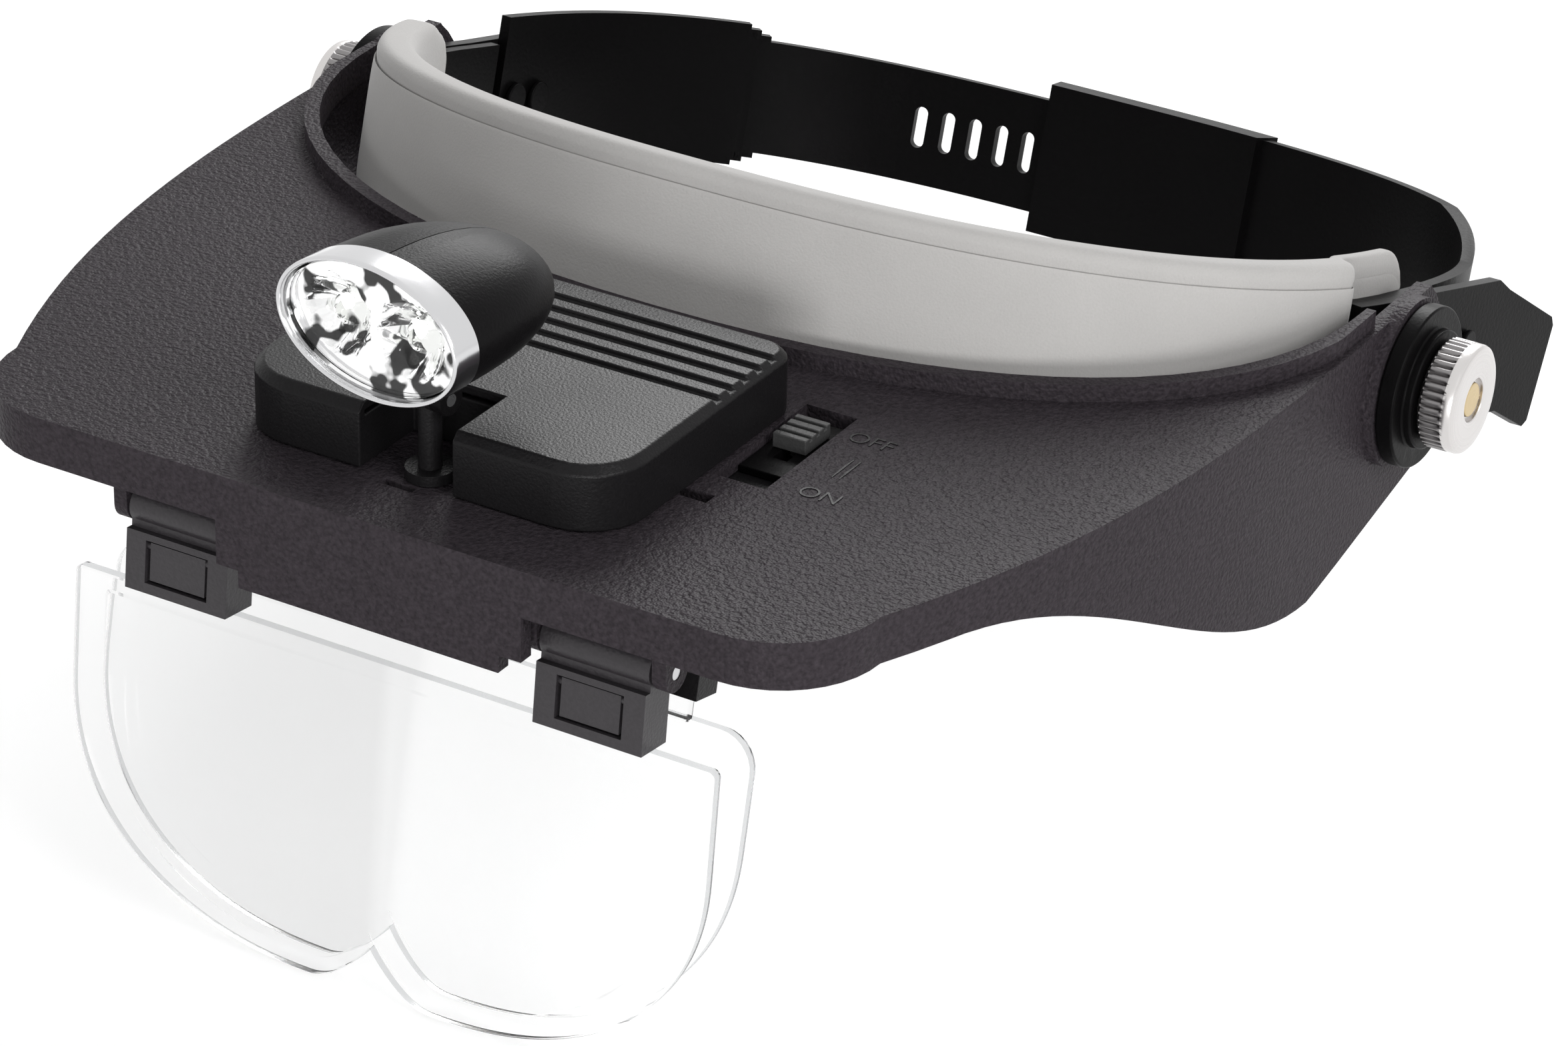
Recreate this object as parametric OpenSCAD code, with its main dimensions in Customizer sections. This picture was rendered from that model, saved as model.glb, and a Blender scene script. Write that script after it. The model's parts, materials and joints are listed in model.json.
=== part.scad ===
// Headband magnifier: a tilting sun visor on a head strap, with two flip-up lens plates,
// a swivelling two-bulb lamp and its battery box.
// X runs to the right as seen from the front, Y to the back of the head, Z up.
// The origin is the middle of the head opening.

/* [Headband] */
// Half width of the head opening between the straps
band_half_w = 78.6; // [70:0.2:90]
// Half length of the head opening between the straps
band_half_l = 67.8; // [62:0.2:90]
// Squareness of the headband's plan, 2 is an ellipse
band_power = 2.43; // [2:0.01:3]
// Squareness of the headband's plan behind the temples
back_power = 2.85; // [2:0.01:3.4]
// Slope of the headband against the visor
band_tilt = 16; // [8:1:22]
// Thickness of each strap
strap_t = 1.8; // [1.2:0.1:2.4]
// Height of the wide straps
strap_wide_h = 23.6; // [20:0.2:28]
// Height of the temple arms
arm_h = 20.8; // [17:0.2:22]
// Height of the slotted strap
strap_narrow_h = 18.6; // [14:0.2:19.5]
// Height of the brow band inside the pad
brow_h = 15; // [13:0.5:22]
// Height of the brow pad
pad_h = 25.3; // [23.2:0.1:26]
// Thickness of the pad in front of the brow band
pad_front_t = 1.6; // [1:0.1:1.9]
// Thickness of the pad against the forehead
pad_back_t = 3.0; // [2:0.1:5]
// Gap between pieces that lie side by side
lay_gap = 0.2; // [0.1:0.05:0.3]
// Number of adjusting slots
slot_count = 8; // [3:1:8]
// Distance between the adjusting slots
slot_pitch = 4.7; // [3.6:0.1:4.8]
// Width of an adjusting slot
slot_w = 2.2; // [1.6:0.1:2.6]
// Height of an adjusting slot
slot_h = 6.8; // [4:0.2:9]
// Length of the sleeve that the slotted strap runs in
sleeve_len = 38; // [26:1:44]
// Wall of the sleeve
sleeve_wall = 1.3; // [1:0.1:1.8]

/* [Temple pivots] */
// Radius of the pivot screw
screw_r = 2.5; // [2:0.1:3]
// Radius of the pivot screw's head
screw_head_r = 4.6; // [4:0.1:5.4]
// Thickness of the pivot screw's head
screw_head_t = 1.4; // [1:0.1:2]
// Running clearance on every pivot, on the radius
run_gap = 0.05; // [0.02:0.01:0.1]
// Radius of the visor's pivot boss
boss_r = 12.4; // [11:0.2:13]
// Height of the visor's pivot boss
boss_t = 1.6; // [1:0.1:2.5]
// Radius of the pivot washer
washer_r = 11.8; // [10.5:0.1:12.2]
// Thickness of the pivot washer
washer_t = 4; // [2:0.1:4.6]
// Thickness of the washer's rim
washer_rim_t = 2.6; // [1:0.1:3.4]
// Radius of the washer's hub
washer_hub_r = 8.7; // [8.2:0.1:10.4]
// Radius of the knurled thumb nut
nut_r = 8; // [7.4:0.1:10.4]
// Thickness of the thumb nut
nut_t = 5.6; // [4:0.1:7]
// Number of knurls on the thumb nut
knurl_count = 44; // [24:1:60]
// Depth of the knurls
knurl_depth = 0.55; // [0.3:0.05:0.8]

/* [Visor] */
// Gap between the brow edge and the pad
brow_gap = 1.8; // [1.7:0.1:5]
// Height of the visor's top face over the pivots
visor_rise = 11.25; // [9:0.05:12]
// Gap between the visor's cheeks and the temple arms
temple_gap = 0.8; // [0.4:0.1:4]
// How much narrower each side is at the front
visor_taper = 25.5; // [16:0.5:26]
// Corner radius at the front
corner_r = 15; // [8:0.5:20]
// Thickness of the visor's top
plate_t = 2.2; // [1.8:0.1:2.6]
// Thickness of the skirt and cheeks
skirt_t = 2.4; // [1.8:0.1:2.4]
// Height of the skirt at the front
skirt_h = 6.8; // [5:0.1:8.2]
// How much deeper the cheeks reach than the skirt
cheek_drop = 28.4; // [18:0.1:30]
// Distance from the front edge to the brow edge
brow_edge_y = 69.8; // [66:0.1:69.9]
// Depth of the brow edge's curve
brow_edge_bow = 54; // [50:0.5:56]
// Height of the rim along the brow edge
rim_h = 2.6; // [1:0.1:3]
// Width of the rim along the brow edge
rim_w = 2.2; // [1.4:0.1:3]
// Half width of the bar between the lens clips
bar_half_w = 20.5; // [14:0.5:21]
// Height of the bar between the lens clips
bar_h = 16; // [12:0.5:18.5]

/* [Lens plates] */
// Half width of a lens plate
lens_half_w = 50.8; // [46:0.1:51]
// Height of a lens plate below its clips
lens_h = 48.8; // [44:0.2:60]
// Thickness of a lens plate
lens_t = 2; // [1.6:0.1:2.4]
// Height of the nose notch
nose_h = 6.9; // [4:0.1:16]
// Half width of the nose notch
nose_half_w = 10; // [8:0.5:15]
// Rise of each magnifying dome
dome_rise = 1.1; // [0.6:0.1:1.3]
// Radius of each magnifying dome's rim
dome_r = 21; // [16:0.5:22]
// Distance between the two lens hinges
lens_spacing = 10.6; // [10.2:0.1:13]
// Distance from the front edge back to the first lens hinge
hinge_back = 6.4; // [6.2:0.1:7.5]
// Radius of the front plate's top corners
front_corner = 1; // [0.5:0.1:4]
// Radius of the rear plate's top corners
rear_corner = 5; // [1:0.1:8]
// How far the front lens plate leans forward at rest
front_lean = 6.3; // [0:0.1:8]
// How far the rear lens plate leans forward at rest
rear_lean = 12.3; // [4:0.1:13]
// Depth of the lens hinges under the visor's top
hinge_drop = 11.8; // [11.6:0.1:13]
// Radius of the hinge pins
pin_r = 1; // [0.8:0.05:1.2]
// Radius of the hinge barrels
barrel_r = 2.7; // [2.2:0.1:2.9]
// Inner edge of each front clip from the middle
clip_in = 24.4; // [24.2:0.1:26]
// Width of each front clip
clip_w = 16.6; // [14:0.1:17]
// Depth of each front clip from front to back
clip_d = 6; // [5.4:0.1:6.2]
// Height of each front clip's frame
clip_h = 8.7; // [7.5:0.1:10]
// Side bars of the clip's window
clip_bar = 2.9; // [2:0.1:3.4]

/* [Battery box] */
// Gap between the battery tray and the cover's sides
box_gap = 1.85; // [0.3:0.05:2]
// Length of the battery box from front to back
box_l = 47; // [46.6:0.1:49]
// Height of the battery box
box_h = 9.5; // [9.4:0.1:11]
// Distance from the visor's front edge to the battery box
box_front = 11.5; // [10:0.1:12]
// Wall of the battery cover
cover_t = 1.4; // [1.1:0.1:1.4]
// Radius of the cover's front corners
cover_corner = 9; // [4:0.5:10]
// Radius of the cover's back corners
cover_back_corner = 4; // [2:0.5:8]
// Radius of a battery
cell_r = 5.25; // [5.1:0.05:5.3]
// Length of a battery
cell_l = 44.5; // [44:0.1:44.6]
// Number of finger grooves
groove_count = 5; // [3:1:5]
// Distance between the finger grooves
groove_pitch = 3.5; // [2.4:0.1:3.5]
// Width of a finger groove
groove_w = 1.3; // [0.8:0.1:1.6]
// Depth of a finger groove
groove_d = 0.6; // [0.3:0.1:0.8]
// Width of the notch for the lamp post
notch_w = 14.5; // [10:0.5:15]
// Depth of the notch for the lamp post
notch_l = 12.5; // [11:0.1:13]
// How far the cover slides back to open
cover_slide = 4; // [3:0.1:4.2]
// Travel of the switch
switch_travel = 4; // [2:0.1:4.4]

/* [Lamp] */
// Half width of the lamp
lamp_half_w = 15.2; // [13:0.1:16]
// Half height of the lamp
lamp_half_h = 9.4; // [9:0.1:11]
// Length of the lamp behind its bezel
lamp_len = 27; // [26:0.5:32]
// Depth of the bezel
bezel_d = 4.6; // [3.5:0.1:5.5]
// Wall of the lamp shells
lamp_wall = 1.5; // [1.2:0.1:1.8]
// How far the lamp looks to one side
lamp_yaw = 7; // [0:1:12]
// Height of the lamp's tilt axis over the visor
lamp_pivot_h = 12.4; // [12.2:0.1:13.4]
// Height of the lamp's middle over its tilt axis
lamp_lift = 13.2; // [13.1:0.1:14]
// Distance from the tilt axis to the bezel's face
lamp_ahead = 12.4; // [11:0.1:13]
// Radius of the lamp post
post_r = 1.6; // [1.4:0.05:2]
// Radius of a bulb
bulb_r = 2.5; // [2:0.1:2.6]

/* [Hidden] */

smooth = 64;
fine = 32;

// Colours
black_grain = [0.115, 0.110, 0.120];
black_satin = [0.090, 0.088, 0.094];
strap_black = [0.055, 0.055, 0.058];
pad_grey = [0.60, 0.585, 0.565];
bright_metal = [0.80, 0.80, 0.80];
brass = [0.72, 0.58, 0.32];
clear_plastic = [0.90, 0.93, 0.94, 0.35];
cell_colour = [0.35, 0.40, 0.46];
board_green = [0.16, 0.35, 0.24];

// Headband plan, measured from the middle of the head opening
arm_t = 2;
arm_front_y = -18;
arm_back_y = 48;
arm_flare = 3.4;
pivot_ahead = 11;
pivot_low = 2.7;
layer_out = strap_t + lay_gap;
arm_in = band_half_w + layer_out;
arm_out = arm_in + arm_t;
strap_start_y = 7;
brow_end_y = 5;
pad_left_y = -17.2;
pad_right_y = 2;
arm_top = arm_h / 2 - 2.7;
arm_bottom = -arm_h / 2 - 2.7;
step_x = -61;
step_l = 1.4;
step_h = 0.8;
first_slot_x = -33.7;
sleeve_mouth_x = -12;
sleeve_end_x = sleeve_mouth_x + sleeve_len;
tongue_end_x = sleeve_end_x - 5;
rivet_r = 1.5;
rivet_head_r = 2.6;
rivet_head_t = 0.8;
rivet_at = [11, 17];
rivet_z = -1.5;
peg_r = slot_w / 2 - 0.15;
peg_x = first_slot_x + (slot_count - 1) * slot_pitch;

taper_start = 33;
taper_end = 52;

// Temple pivot, in the object's own frame
pivot_y = -pivot_ahead * cos(band_tilt) - pivot_low * sin(band_tilt);
pivot_z = pivot_ahead * sin(band_tilt) - pivot_low * cos(band_tilt);
visor_reach = pivot_y + brow_edge_y + band_half_l + layer_out + pad_front_t + brow_gap;
visor_y = pivot_y - visor_reach;
visor_z = pivot_z + visor_rise;

// Stack at each temple, from the head outwards
visor_half_w = arm_out + temple_gap + skirt_t;
cheek_in = visor_half_w - skirt_t;
boss_out = visor_half_w + boss_t;
washer_in = boss_out + lay_gap;
washer_out = washer_in + washer_t;
nut_in = washer_out + lay_gap;
nut_out = nut_in + nut_t;
screw_in = band_x(0, -pivot_ahead - screw_head_r) - 0.1;
screw_out = nut_out - 0.3;
head_in = screw_in - screw_head_t;
nut_recess_r = 3.2;
nut_recess_d = 0.7;
nut_chamfer = 0.5;

// Visor outline
side_power = 3;
side_end = visor_reach - 2;
lobe_r = 14.2;
tail_y = visor_reach + 7;
cheek_start = 26;
cheek_full = 106;
cheek_rise = 7;
web_h = 13.4;
lobe_arc = 50;
brow_half_w = visor_half_w - skirt_t;
brow_middle = brow_edge_y + brow_edge_bow;
brow_power = 2.3;

// Lens hinges, in the visor's frame
front_axis = [hinge_back, -hinge_drop];
rear_axis = [hinge_back + lens_spacing, -hinge_drop];
clip_out = clip_in + clip_w;
clip_top = -hinge_drop - barrel_r - 0.2;
clip_bottom = clip_top - clip_h;
clip_front = hinge_back - clip_d / 2 - 0.1;
lens_top = clip_bottom - 0.1;
lens_front_y = hinge_back - 0.2;
tongue_in = clip_in + clip_bar - 0.3;
tongue_out = clip_out - clip_bar + 0.3;
tongue_top = clip_top - 1.6;
tab_in = clip_in + clip_bar + 0.9;
tab_out = clip_out - clip_bar - 0.9;
tab_t = 1.1;
tab_axis_z = clip_top - 2;
tab_axis_y = clip_front + 0.9;
tab_pin_r = 0.5;
nub_z = tab_axis_z - 3.6;
nub_r = 1.2;
lug_t = 1.7;
side_gap = 0.4;
lug_in_low = clip_in - side_gap - lug_t;
lug_out_high = clip_out + side_gap + lug_t + 0.4;
rear_clip_in = 31;
rear_clip_out = 42.6;
rear_lug_t = 2.2;
rear_lug_high = rear_clip_out + side_gap + rear_lug_t;
rear_clip_bottom = -20.2;
rear_bar_r = 2.4;
rear_clip_d = 5.2;

// Lens outline and magnifying domes, from the middle of a plate's top edge
lobe_w = lens_half_w - nose_half_w;
lobe_h = 33;
lobe_middle_z = lobe_h - lens_h;
dome_z = -lens_h / 2 + 2.2;
dome_x = lens_half_w / 2;
dome_ball = (dome_r * dome_r + dome_rise * dome_rise) / (2 * dome_rise);

// Battery box, in the visor's frame
box_back = box_front + box_l;
notch_x = -1.5;
notch_back = box_front + notch_l;
cover_foot = 0.25;
inside_top = box_h - cover_t;
cell_z = inside_top - cell_r - 0.15;
tray_wall = 1.2;
tray_front = notch_back + cover_t + cover_slide + 0.4;
cell_front_y = tray_front + tray_wall + cell_r + 0.1;
cell_back_y = cell_front_y + 2 * cell_r + 0.4;
tray_back = cell_back_y + cell_r + 0.1 + tray_wall;
spring_l = 2.6;
spring_tip_r = 2;
spring_base_r = 3.6;
spring_off = 4;
contact_t = 0.5;
contact_r = 2.6;
tray_in_x = cell_l / 2 + spring_l + contact_t + 0.2;
tray_out_x = tray_in_x + tray_wall;
box_w = 2 * (tray_out_x + box_gap + cover_t);
cell_tip_r = 1.9;
deck_top = -plate_t - 0.2;
deck_t = 1.5;
tray_floor = cell_z - cell_r - 0.1;
tray_wall_h = 4.5;
tray_cut_h = 20;
window_x = [box_w / 2 + 0.6, box_w / 2 + 8.5];
window_y = [36, 60];
side_slot = [box_w / 2 - cover_t, 28.5, 5.4, 2.4];
front_slot = [-4.5, 9.9, 5, 1.4];
switch_l = 16.4;
switch_y = 50.2;
switch_top = -1.2;
switch_bottom = -6.6;
knob_y = 51.9;
knob_l = 6.6;
deck_x = [-28, window_x[1] + 2];
deck_y = [22, 62];
tray_screw_r = 1;
tray_screw_head_r = 2.1;
tray_screw_head_t = 1.3;
tray_screw_at = [[-25, 25], [25, 25], [-25, 59.4], [25, 59.4]];

// Lamp, in its own frame: the tilt axis is the origin
post_x = 0;
post_y = 15;
post_foot_r = 3.4;
post_foot_t = 1.5;
knuckle_r = 2.2;
knuckle_w = 3.4;
lug_gap = 0.25;
lug_w = 1.8;
tilt_pin_r = 0.9;
bezel_front = -lamp_ahead;
bezel_back = bezel_front + bezel_d;
window_t = 1.2;
window_y0 = bezel_front + 1;
reflector_front = window_y0 + window_t + 0.1;
reflector_back = bezel_back + 6;
bulb_x = 6.2;
bulb_l = 5.6;
bowl_front_r = 5.9;
bowl_out_r = 5.6;
bowl_end_r = 4;
board_a = 10.4;
board_b = 6.4;
lamp_drop = 1.4;
lip_w = 1.1;
lip_in = 0.7;
lip_d = 0.9;
lamp_steps = [0, 0.12, 0.24, 0.36, 0.48, 0.6, 0.7, 0.79, 0.86, 0.92, 0.96, 0.985];

function sgn(v) = v < 0 ? -1 : 1;
function oval(a, b, n, t) =
  [a * sgn(cos(t)) * pow(abs(cos(t)), 2 / n), b * sgn(sin(t)) * pow(abs(sin(t)), 2 / n)];
function turn(t, t0, t1, steps) = t0 + (t1 - t0) * t / steps;
function band_n(y) = y < 0 ? band_power : back_power;
function band_point(grow, t) = oval(band_half_w + grow, band_half_l + grow, band_n(sin(t)), t);
function band_arc(grow, t0, t1, steps = 40) =
  [for (i = [0 : steps]) band_point(grow, turn(i, t0, t1, steps))];
function flip(points) = [for (i = [len(points) - 1 : -1 : 0]) points[i]];
function band_angle(y) = asin(pow(abs(y) / band_half_l, band_n(y) / 2)) * sgn(y);
function back_angle(x) = acos(pow(abs(x) / band_half_w, back_power / 2) * sgn(x));
function band_x(grow, y) =
  (band_half_w + grow) * pow(1 - pow(abs(y) / (band_half_l + grow), band_n(y)), 1 / band_n(y));
function side_w(y) = visor_half_w - visor_taper * pow(max(0, 1 - y / side_end), side_power);
function ease(t) = t <= 0 ? 0 : t >= 1 ? 1 : t * t * (3 - 2 * t);
function cheek_z(y) =
  -skirt_h - cheek_drop * ease((y - cheek_start) / (cheek_full - cheek_start))
  + cheek_rise * max(0, (y - cheek_full) / (tail_y - cheek_full));
function bevel(r, inset) = max(r - inset, 0.5);

// Strip of the headband between two angles, from one height to another
module band_strip(grow, thick, t0, t1, z0, z1) {
  translate([0, 0, z0])
    linear_extrude(z1 - z0)
      polygon(concat(band_arc(grow + thick, t0, t1), flip(band_arc(grow, t0, t1))));
}

// Frames of the headband, the visor and the lamp
module in_band() {
  rotate([-band_tilt, 0, 0]) children();
}

module in_visor() {
  translate([0, visor_y, visor_z]) children();
}

module about_x(axis, lean) {
  translate([0, axis[0], axis[1]]) rotate([-lean, 0, 0]) translate([0, -axis[0], -axis[1]]) children();
}

module in_front_lens() {
  in_visor() about_x(front_axis, front_lean) children();
}

module in_rear_lens() {
  in_visor() about_x(rear_axis, rear_lean) children();
}

module in_lamp() {
  in_visor() translate([post_x, post_y, lamp_pivot_h]) rotate([0, 0, -lamp_yaw]) children();
}

module at_pivot(side) {
  translate([0, pivot_y, pivot_z]) mirror([side < 0 ? 1 : 0, 0, 0]) rotate([0, 90, 0]) children();
}

module along_x(axis, x0, x1, r) {
  translate([x0, axis[0], axis[1]]) rotate([0, 90, 0]) cylinder(r = r, h = x1 - x0, $fn = fine);
}

module both_sides() {
  children();
  mirror([1, 0, 0]) children();
}

// Visor outline, drawn in by an inset and run on to the back
function front_half_w(inset) = side_w(corner_r) - corner_r;
function visor_side(inset) =
  concat(
    [for (a = [0 : 9 : 81])
      let (y = corner_r * (1 - cos(a)) + inset * cos(a))
      [front_half_w(inset) + (corner_r - inset) * sin(a), y]],
    [for (y = [corner_r : 5 : side_end]) [side_w(y) - inset, y]]);

module visor_plan(inset, back) {
  side = visor_side(inset);
  polygon(concat(side, [[visor_half_w - inset, back]],
    [for (p = flip(concat(side, [[visor_half_w - inset, back]]))) [-p[0], p[1]]]));
}

function brow_curve(inset) =
  [for (i = [0 : 36])
    let (t = 180 + 5 * i)
    let (p = oval(brow_half_w - inset, brow_edge_bow - inset, brow_power, t))
    [p[0], brow_middle + p[1]]];

module head_cutout(inset, back) {
  polygon(concat(brow_curve(inset), [[brow_half_w - inset, back], [inset - brow_half_w, back]]));
}

// Side view of what is kept of the skirt and cheeks
module cheek_profile() {
  polygon(concat(
    [[-1, rim_h + 1], [tail_y, rim_h + 1]],
    [for (a = [lobe_arc : -10 : -lobe_arc])
      [visor_reach + lobe_r * cos(a), -visor_rise + lobe_r * sin(a)]],
    [for (y = [tail_y : -3 : 1]) [y, cheek_z(y)]],
    [[-1, -skirt_h]]));
}

module hinge_lug(axis, x0, x1) {
  translate([x0, axis[0] - barrel_r, axis[1]]) cube([x1 - x0, 2 * barrel_r, hinge_drop - 1]);
  along_x(axis, x0, x1, barrel_r);
}

module visor_shell() {
  deep = skirt_h + cheek_drop + 1;
  back = visor_reach + lobe_r + 1;
  color(black_grain) in_visor() difference() {
    union() {
      intersection() {
        translate([0, 0, -deep]) difference() {
          linear_extrude(deep) visor_plan(0, back);
          translate([0, 0, -1]) linear_extrude(deep + 1 - plate_t) visor_plan(skirt_t, back + 1);
        }
        translate([-visor_half_w - 1, 0, 0]) rotate([90, 0, 90])
          linear_extrude(2 * visor_half_w + 2) cheek_profile();
      }
      intersection() {
        translate([0, 0, -plate_t]) linear_extrude(plate_t + rim_h) head_cutout(-rim_w, brow_middle);
        translate([0, 0, -plate_t]) linear_extrude(plate_t + rim_h) visor_plan(1, back);
      }
      translate([-bar_half_w, 0, -bar_h]) cube([2 * bar_half_w, skirt_t, bar_h - 1]);
      translate([-lug_in_low - lug_t, 0, -web_h]) cube([2 * (lug_in_low + lug_t), skirt_t, web_h - 1]);
      both_sides() {
        hinge_lug(front_axis, lug_in_low, lug_in_low + lug_t);
        hinge_lug(front_axis, clip_out + side_gap, lug_out_high);
        hinge_lug(rear_axis, rear_clip_out + side_gap, rear_lug_high);
        translate([visor_half_w - 0.5, visor_reach, -visor_rise]) rotate([0, 90, 0])
          cylinder(r = boss_r, h = boss_t + 0.5, $fn = smooth);
      }
    }
    translate([0, 0, -plate_t - 1]) linear_extrude(plate_t + rim_h + 2) head_cutout(0, back + 2);
    both_sides() {
      along_x(front_axis, lug_in_low - 1, lug_out_high + 1, pin_r + run_gap);
      along_x(rear_axis, rear_clip_out, rear_lug_high - 0.6, pin_r + run_gap);
      translate([cheek_in - 1, visor_reach, -visor_rise]) rotate([0, 90, 0])
        cylinder(r = screw_r + run_gap, h = skirt_t + boss_t + 2, $fn = smooth);
    }
    translate([-tray_out_x - 0.3, tray_front - 0.3, -plate_t - 1])
      cube([2 * tray_out_x + 0.6, tray_back - tray_front + 0.6, plate_t + 2]);
    translate([window_x[0], window_y[0], -plate_t - 1])
      cube([window_x[1] - window_x[0], window_y[1] - window_y[0], plate_t + 2]);
    translate([side_slot[0], side_slot[1], -plate_t - 1]) cube([side_slot[2], side_slot[3], plate_t + 2]);
    translate([front_slot[0], front_slot[1], -plate_t - 1])
      cube([front_slot[2], front_slot[3], plate_t + 2]);
    translate([post_x, post_y, -plate_t - 1])
      cylinder(r = post_r + run_gap, h = plate_t + 2, $fn = fine);
    for (p = tray_screw_at)
      translate([p[0], p[1], -plate_t - 1])
        cylinder(r = tray_screw_r + run_gap, h = plate_t + 0.3, $fn = fine);
  }
}

// Headband
module screw_holes(r) {
  for (side = [-1, 1])
    translate([side * band_half_w, -pivot_ahead, -pivot_low]) rotate([0, 90, 0])
      cylinder(r = r, h = 30, center = true, $fn = smooth);
}

module brow_band() {
  color(strap_black) in_band() difference() {
    band_strip(0, strap_t, 180 - band_angle(brow_end_y), 360 + band_angle(brow_end_y),
      -brow_h / 2, brow_h / 2);
    screw_holes(screw_r + run_gap);
  }
}

module brow_pad() {
  start = 180 - band_angle(pad_left_y);
  end = 360 + band_angle(pad_right_y);
  front_start = 180 - band_angle(arm_front_y - 1);
  low = -pad_h / 2 + 0.9;
  high = low + pad_h;
  color(pad_grey) in_band() difference() {
    union() {
      band_strip(-pad_back_t, pad_back_t - lay_gap, start, end, low, high);
      band_strip(-pad_back_t, pad_back_t + layer_out + pad_front_t, front_start, 540 - front_start,
        low, high);
    }
    band_strip(-lay_gap, strap_t + 2 * lay_gap, front_start - 12, 552 - front_start,
      -brow_h / 2 - lay_gap, brow_h / 2 + lay_gap);
    screw_holes(screw_head_r + 1);
  }
}

module temple_arm(side) {
  front_angle = band_angle(arm_front_y);
  path_in = concat(
    band_arc(layer_out, front_angle, 0, 8), [[arm_in + arm_flare, arm_back_y]]);
  path_out = concat(
    band_arc(layer_out + arm_t, front_angle, 0, 8), [[arm_out + arm_flare, arm_back_y]]);
  color(strap_black) in_band() mirror([side < 0 ? 1 : 0, 0, 0]) difference() {
    intersection() {
      translate([0, 0, arm_bottom - 5]) linear_extrude(arm_h + 5) polygon(concat(path_out, flip(path_in)));
      rotate([90, 0, 90]) linear_extrude(arm_out + 10)
        polygon([[arm_front_y - 5, arm_bottom], [arm_back_y - 15, arm_bottom],
          [arm_back_y - 4, arm_bottom - 3.6], [arm_back_y - 2.6, arm_bottom - 2.8], [arm_back_y, -1.2],
          [arm_back_y - 1, 0.2], [arm_back_y - 18, 5.9], [arm_back_y - 22, arm_top],
          [arm_front_y - 5, arm_top]]);
    }
    screw_holes(screw_r + run_gap);
    rivet_holes();
  }
}

module rivet_holes() {
  for (side = [-1, 1])
    for (y = rivet_at)
      translate([side * band_half_w, y, rivet_z]) rotate([0, 90, 0])
        cylinder(r = rivet_r + run_gap, h = 16, center = true, $fn = fine);
}

module arm_rivets() {
  color(strap_black) in_band() for (side = [0, 1]) mirror([side, 0, 0]) for (y = rivet_at) {
    inner = band_x(0, y + rivet_head_r) - 0.05;
    outer = arm_out + arm_flare * (y + rivet_head_r) / arm_back_y + 0.05;
    along_x([y, rivet_z], inner - 0.2, outer + 0.2, rivet_r);
    along_x([y, rivet_z], inner - rivet_head_t, inner, rivet_head_r);
    along_x([y, rivet_z], outer, outer + rivet_head_t, rivet_head_r);
  }
}

module slot_cut(angle) {
  p = band_point(0, angle);
  q = band_point(0, angle + 1);
  heading = atan2(q[1] - p[1], q[0] - p[0]);
  translate([p[0], p[1], 0]) rotate([0, 0, heading]) rotate([90, 0, 0])
    translate([0, 0, -6]) {
      for (end = [-1, 1])
        translate([0, end * (slot_h - slot_w) / 2, 0]) cylinder(r = slot_w / 2, h = 12, $fn = fine);
      translate([-slot_w / 2, -(slot_h - slot_w) / 2, 0]) cube([slot_w, slot_h - slot_w, 12]);
    }
}

module strap_slotted() {
  start = 180 - band_angle(strap_start_y);
  step = back_angle(step_x);
  color(strap_black) in_band() difference() {
    union() {
      band_strip(0, strap_t, step, start, -strap_wide_h / 2, strap_wide_h / 2);
      for (i = [1, 2])
        band_strip(0, strap_t, back_angle(step_x + i * step_l), step + 1,
          i * step_h - strap_wide_h / 2, strap_wide_h / 2 - i * step_h);
      band_strip(0, strap_t, back_angle(tongue_end_x), step + 1, -strap_narrow_h / 2, strap_narrow_h / 2);
    }
    for (i = [0 : slot_count - 1]) slot_cut(back_angle(first_slot_x + i * slot_pitch));
    rivet_holes();
  }
}

module strap_sleeved() {
  room = strap_narrow_h / 2 + 0.3;
  mouth = back_angle(sleeve_mouth_x);
  end = back_angle(sleeve_end_x);
  skin = sleeve_wall + lay_gap;
  color(strap_black) in_band() difference() {
    union() {
      band_strip(0, strap_t, band_angle(strap_start_y), end + 1, -strap_wide_h / 2, strap_wide_h / 2);
      band_strip(-skin, strap_t + 2 * skin, end, mouth, -strap_wide_h / 2 - 0.4, strap_wide_h / 2 + 0.4);
    }
    band_strip(-lay_gap, strap_t + 2 * lay_gap, back_angle(sleeve_end_x - 3), mouth + 2, -room, room);
    at_peg() cylinder(r = peg_r + run_gap, h = 6, $fn = fine);
    rivet_holes();
    rotate([90, 0, 90]) linear_extrude(band_half_w + 10)
      polygon([[0, arm_top], [taper_start, arm_top], [taper_end, strap_wide_h / 2], [taper_end, band_half_w],
        [0, band_half_w]]);
  }
}

// Peg through the sleeve's outer wall, in line with the last slot
module at_peg() {
  angle = back_angle(peg_x);
  p = band_point(strap_t, angle);
  q = band_point(strap_t, angle + 1);
  translate([p[0], p[1], 0]) rotate([0, 0, atan2(q[1] - p[1], q[0] - p[0])]) rotate([90, 0, 0]) children();
}

module strap_peg() {
  color(strap_black) in_band() at_peg() {
    translate([0, 0, 0.2 - strap_t]) cylinder(r = peg_r, h = strap_t + sleeve_wall + 0.6, $fn = fine);
    translate([0, 0, sleeve_wall + lay_gap + 0.1]) cylinder(r = 3.2, h = 1.4, $fn = fine);
  }
}

// Temple pivots
module temple_screw(side) {
  color(brass) at_pivot(side) {
    translate([0, 0, head_in]) cylinder(r = screw_head_r, h = screw_head_t, $fn = smooth);
    translate([0, 0, screw_in - 0.5]) cylinder(r = screw_r, h = screw_out - screw_in + 0.5, $fn = smooth);
  }
}

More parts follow.
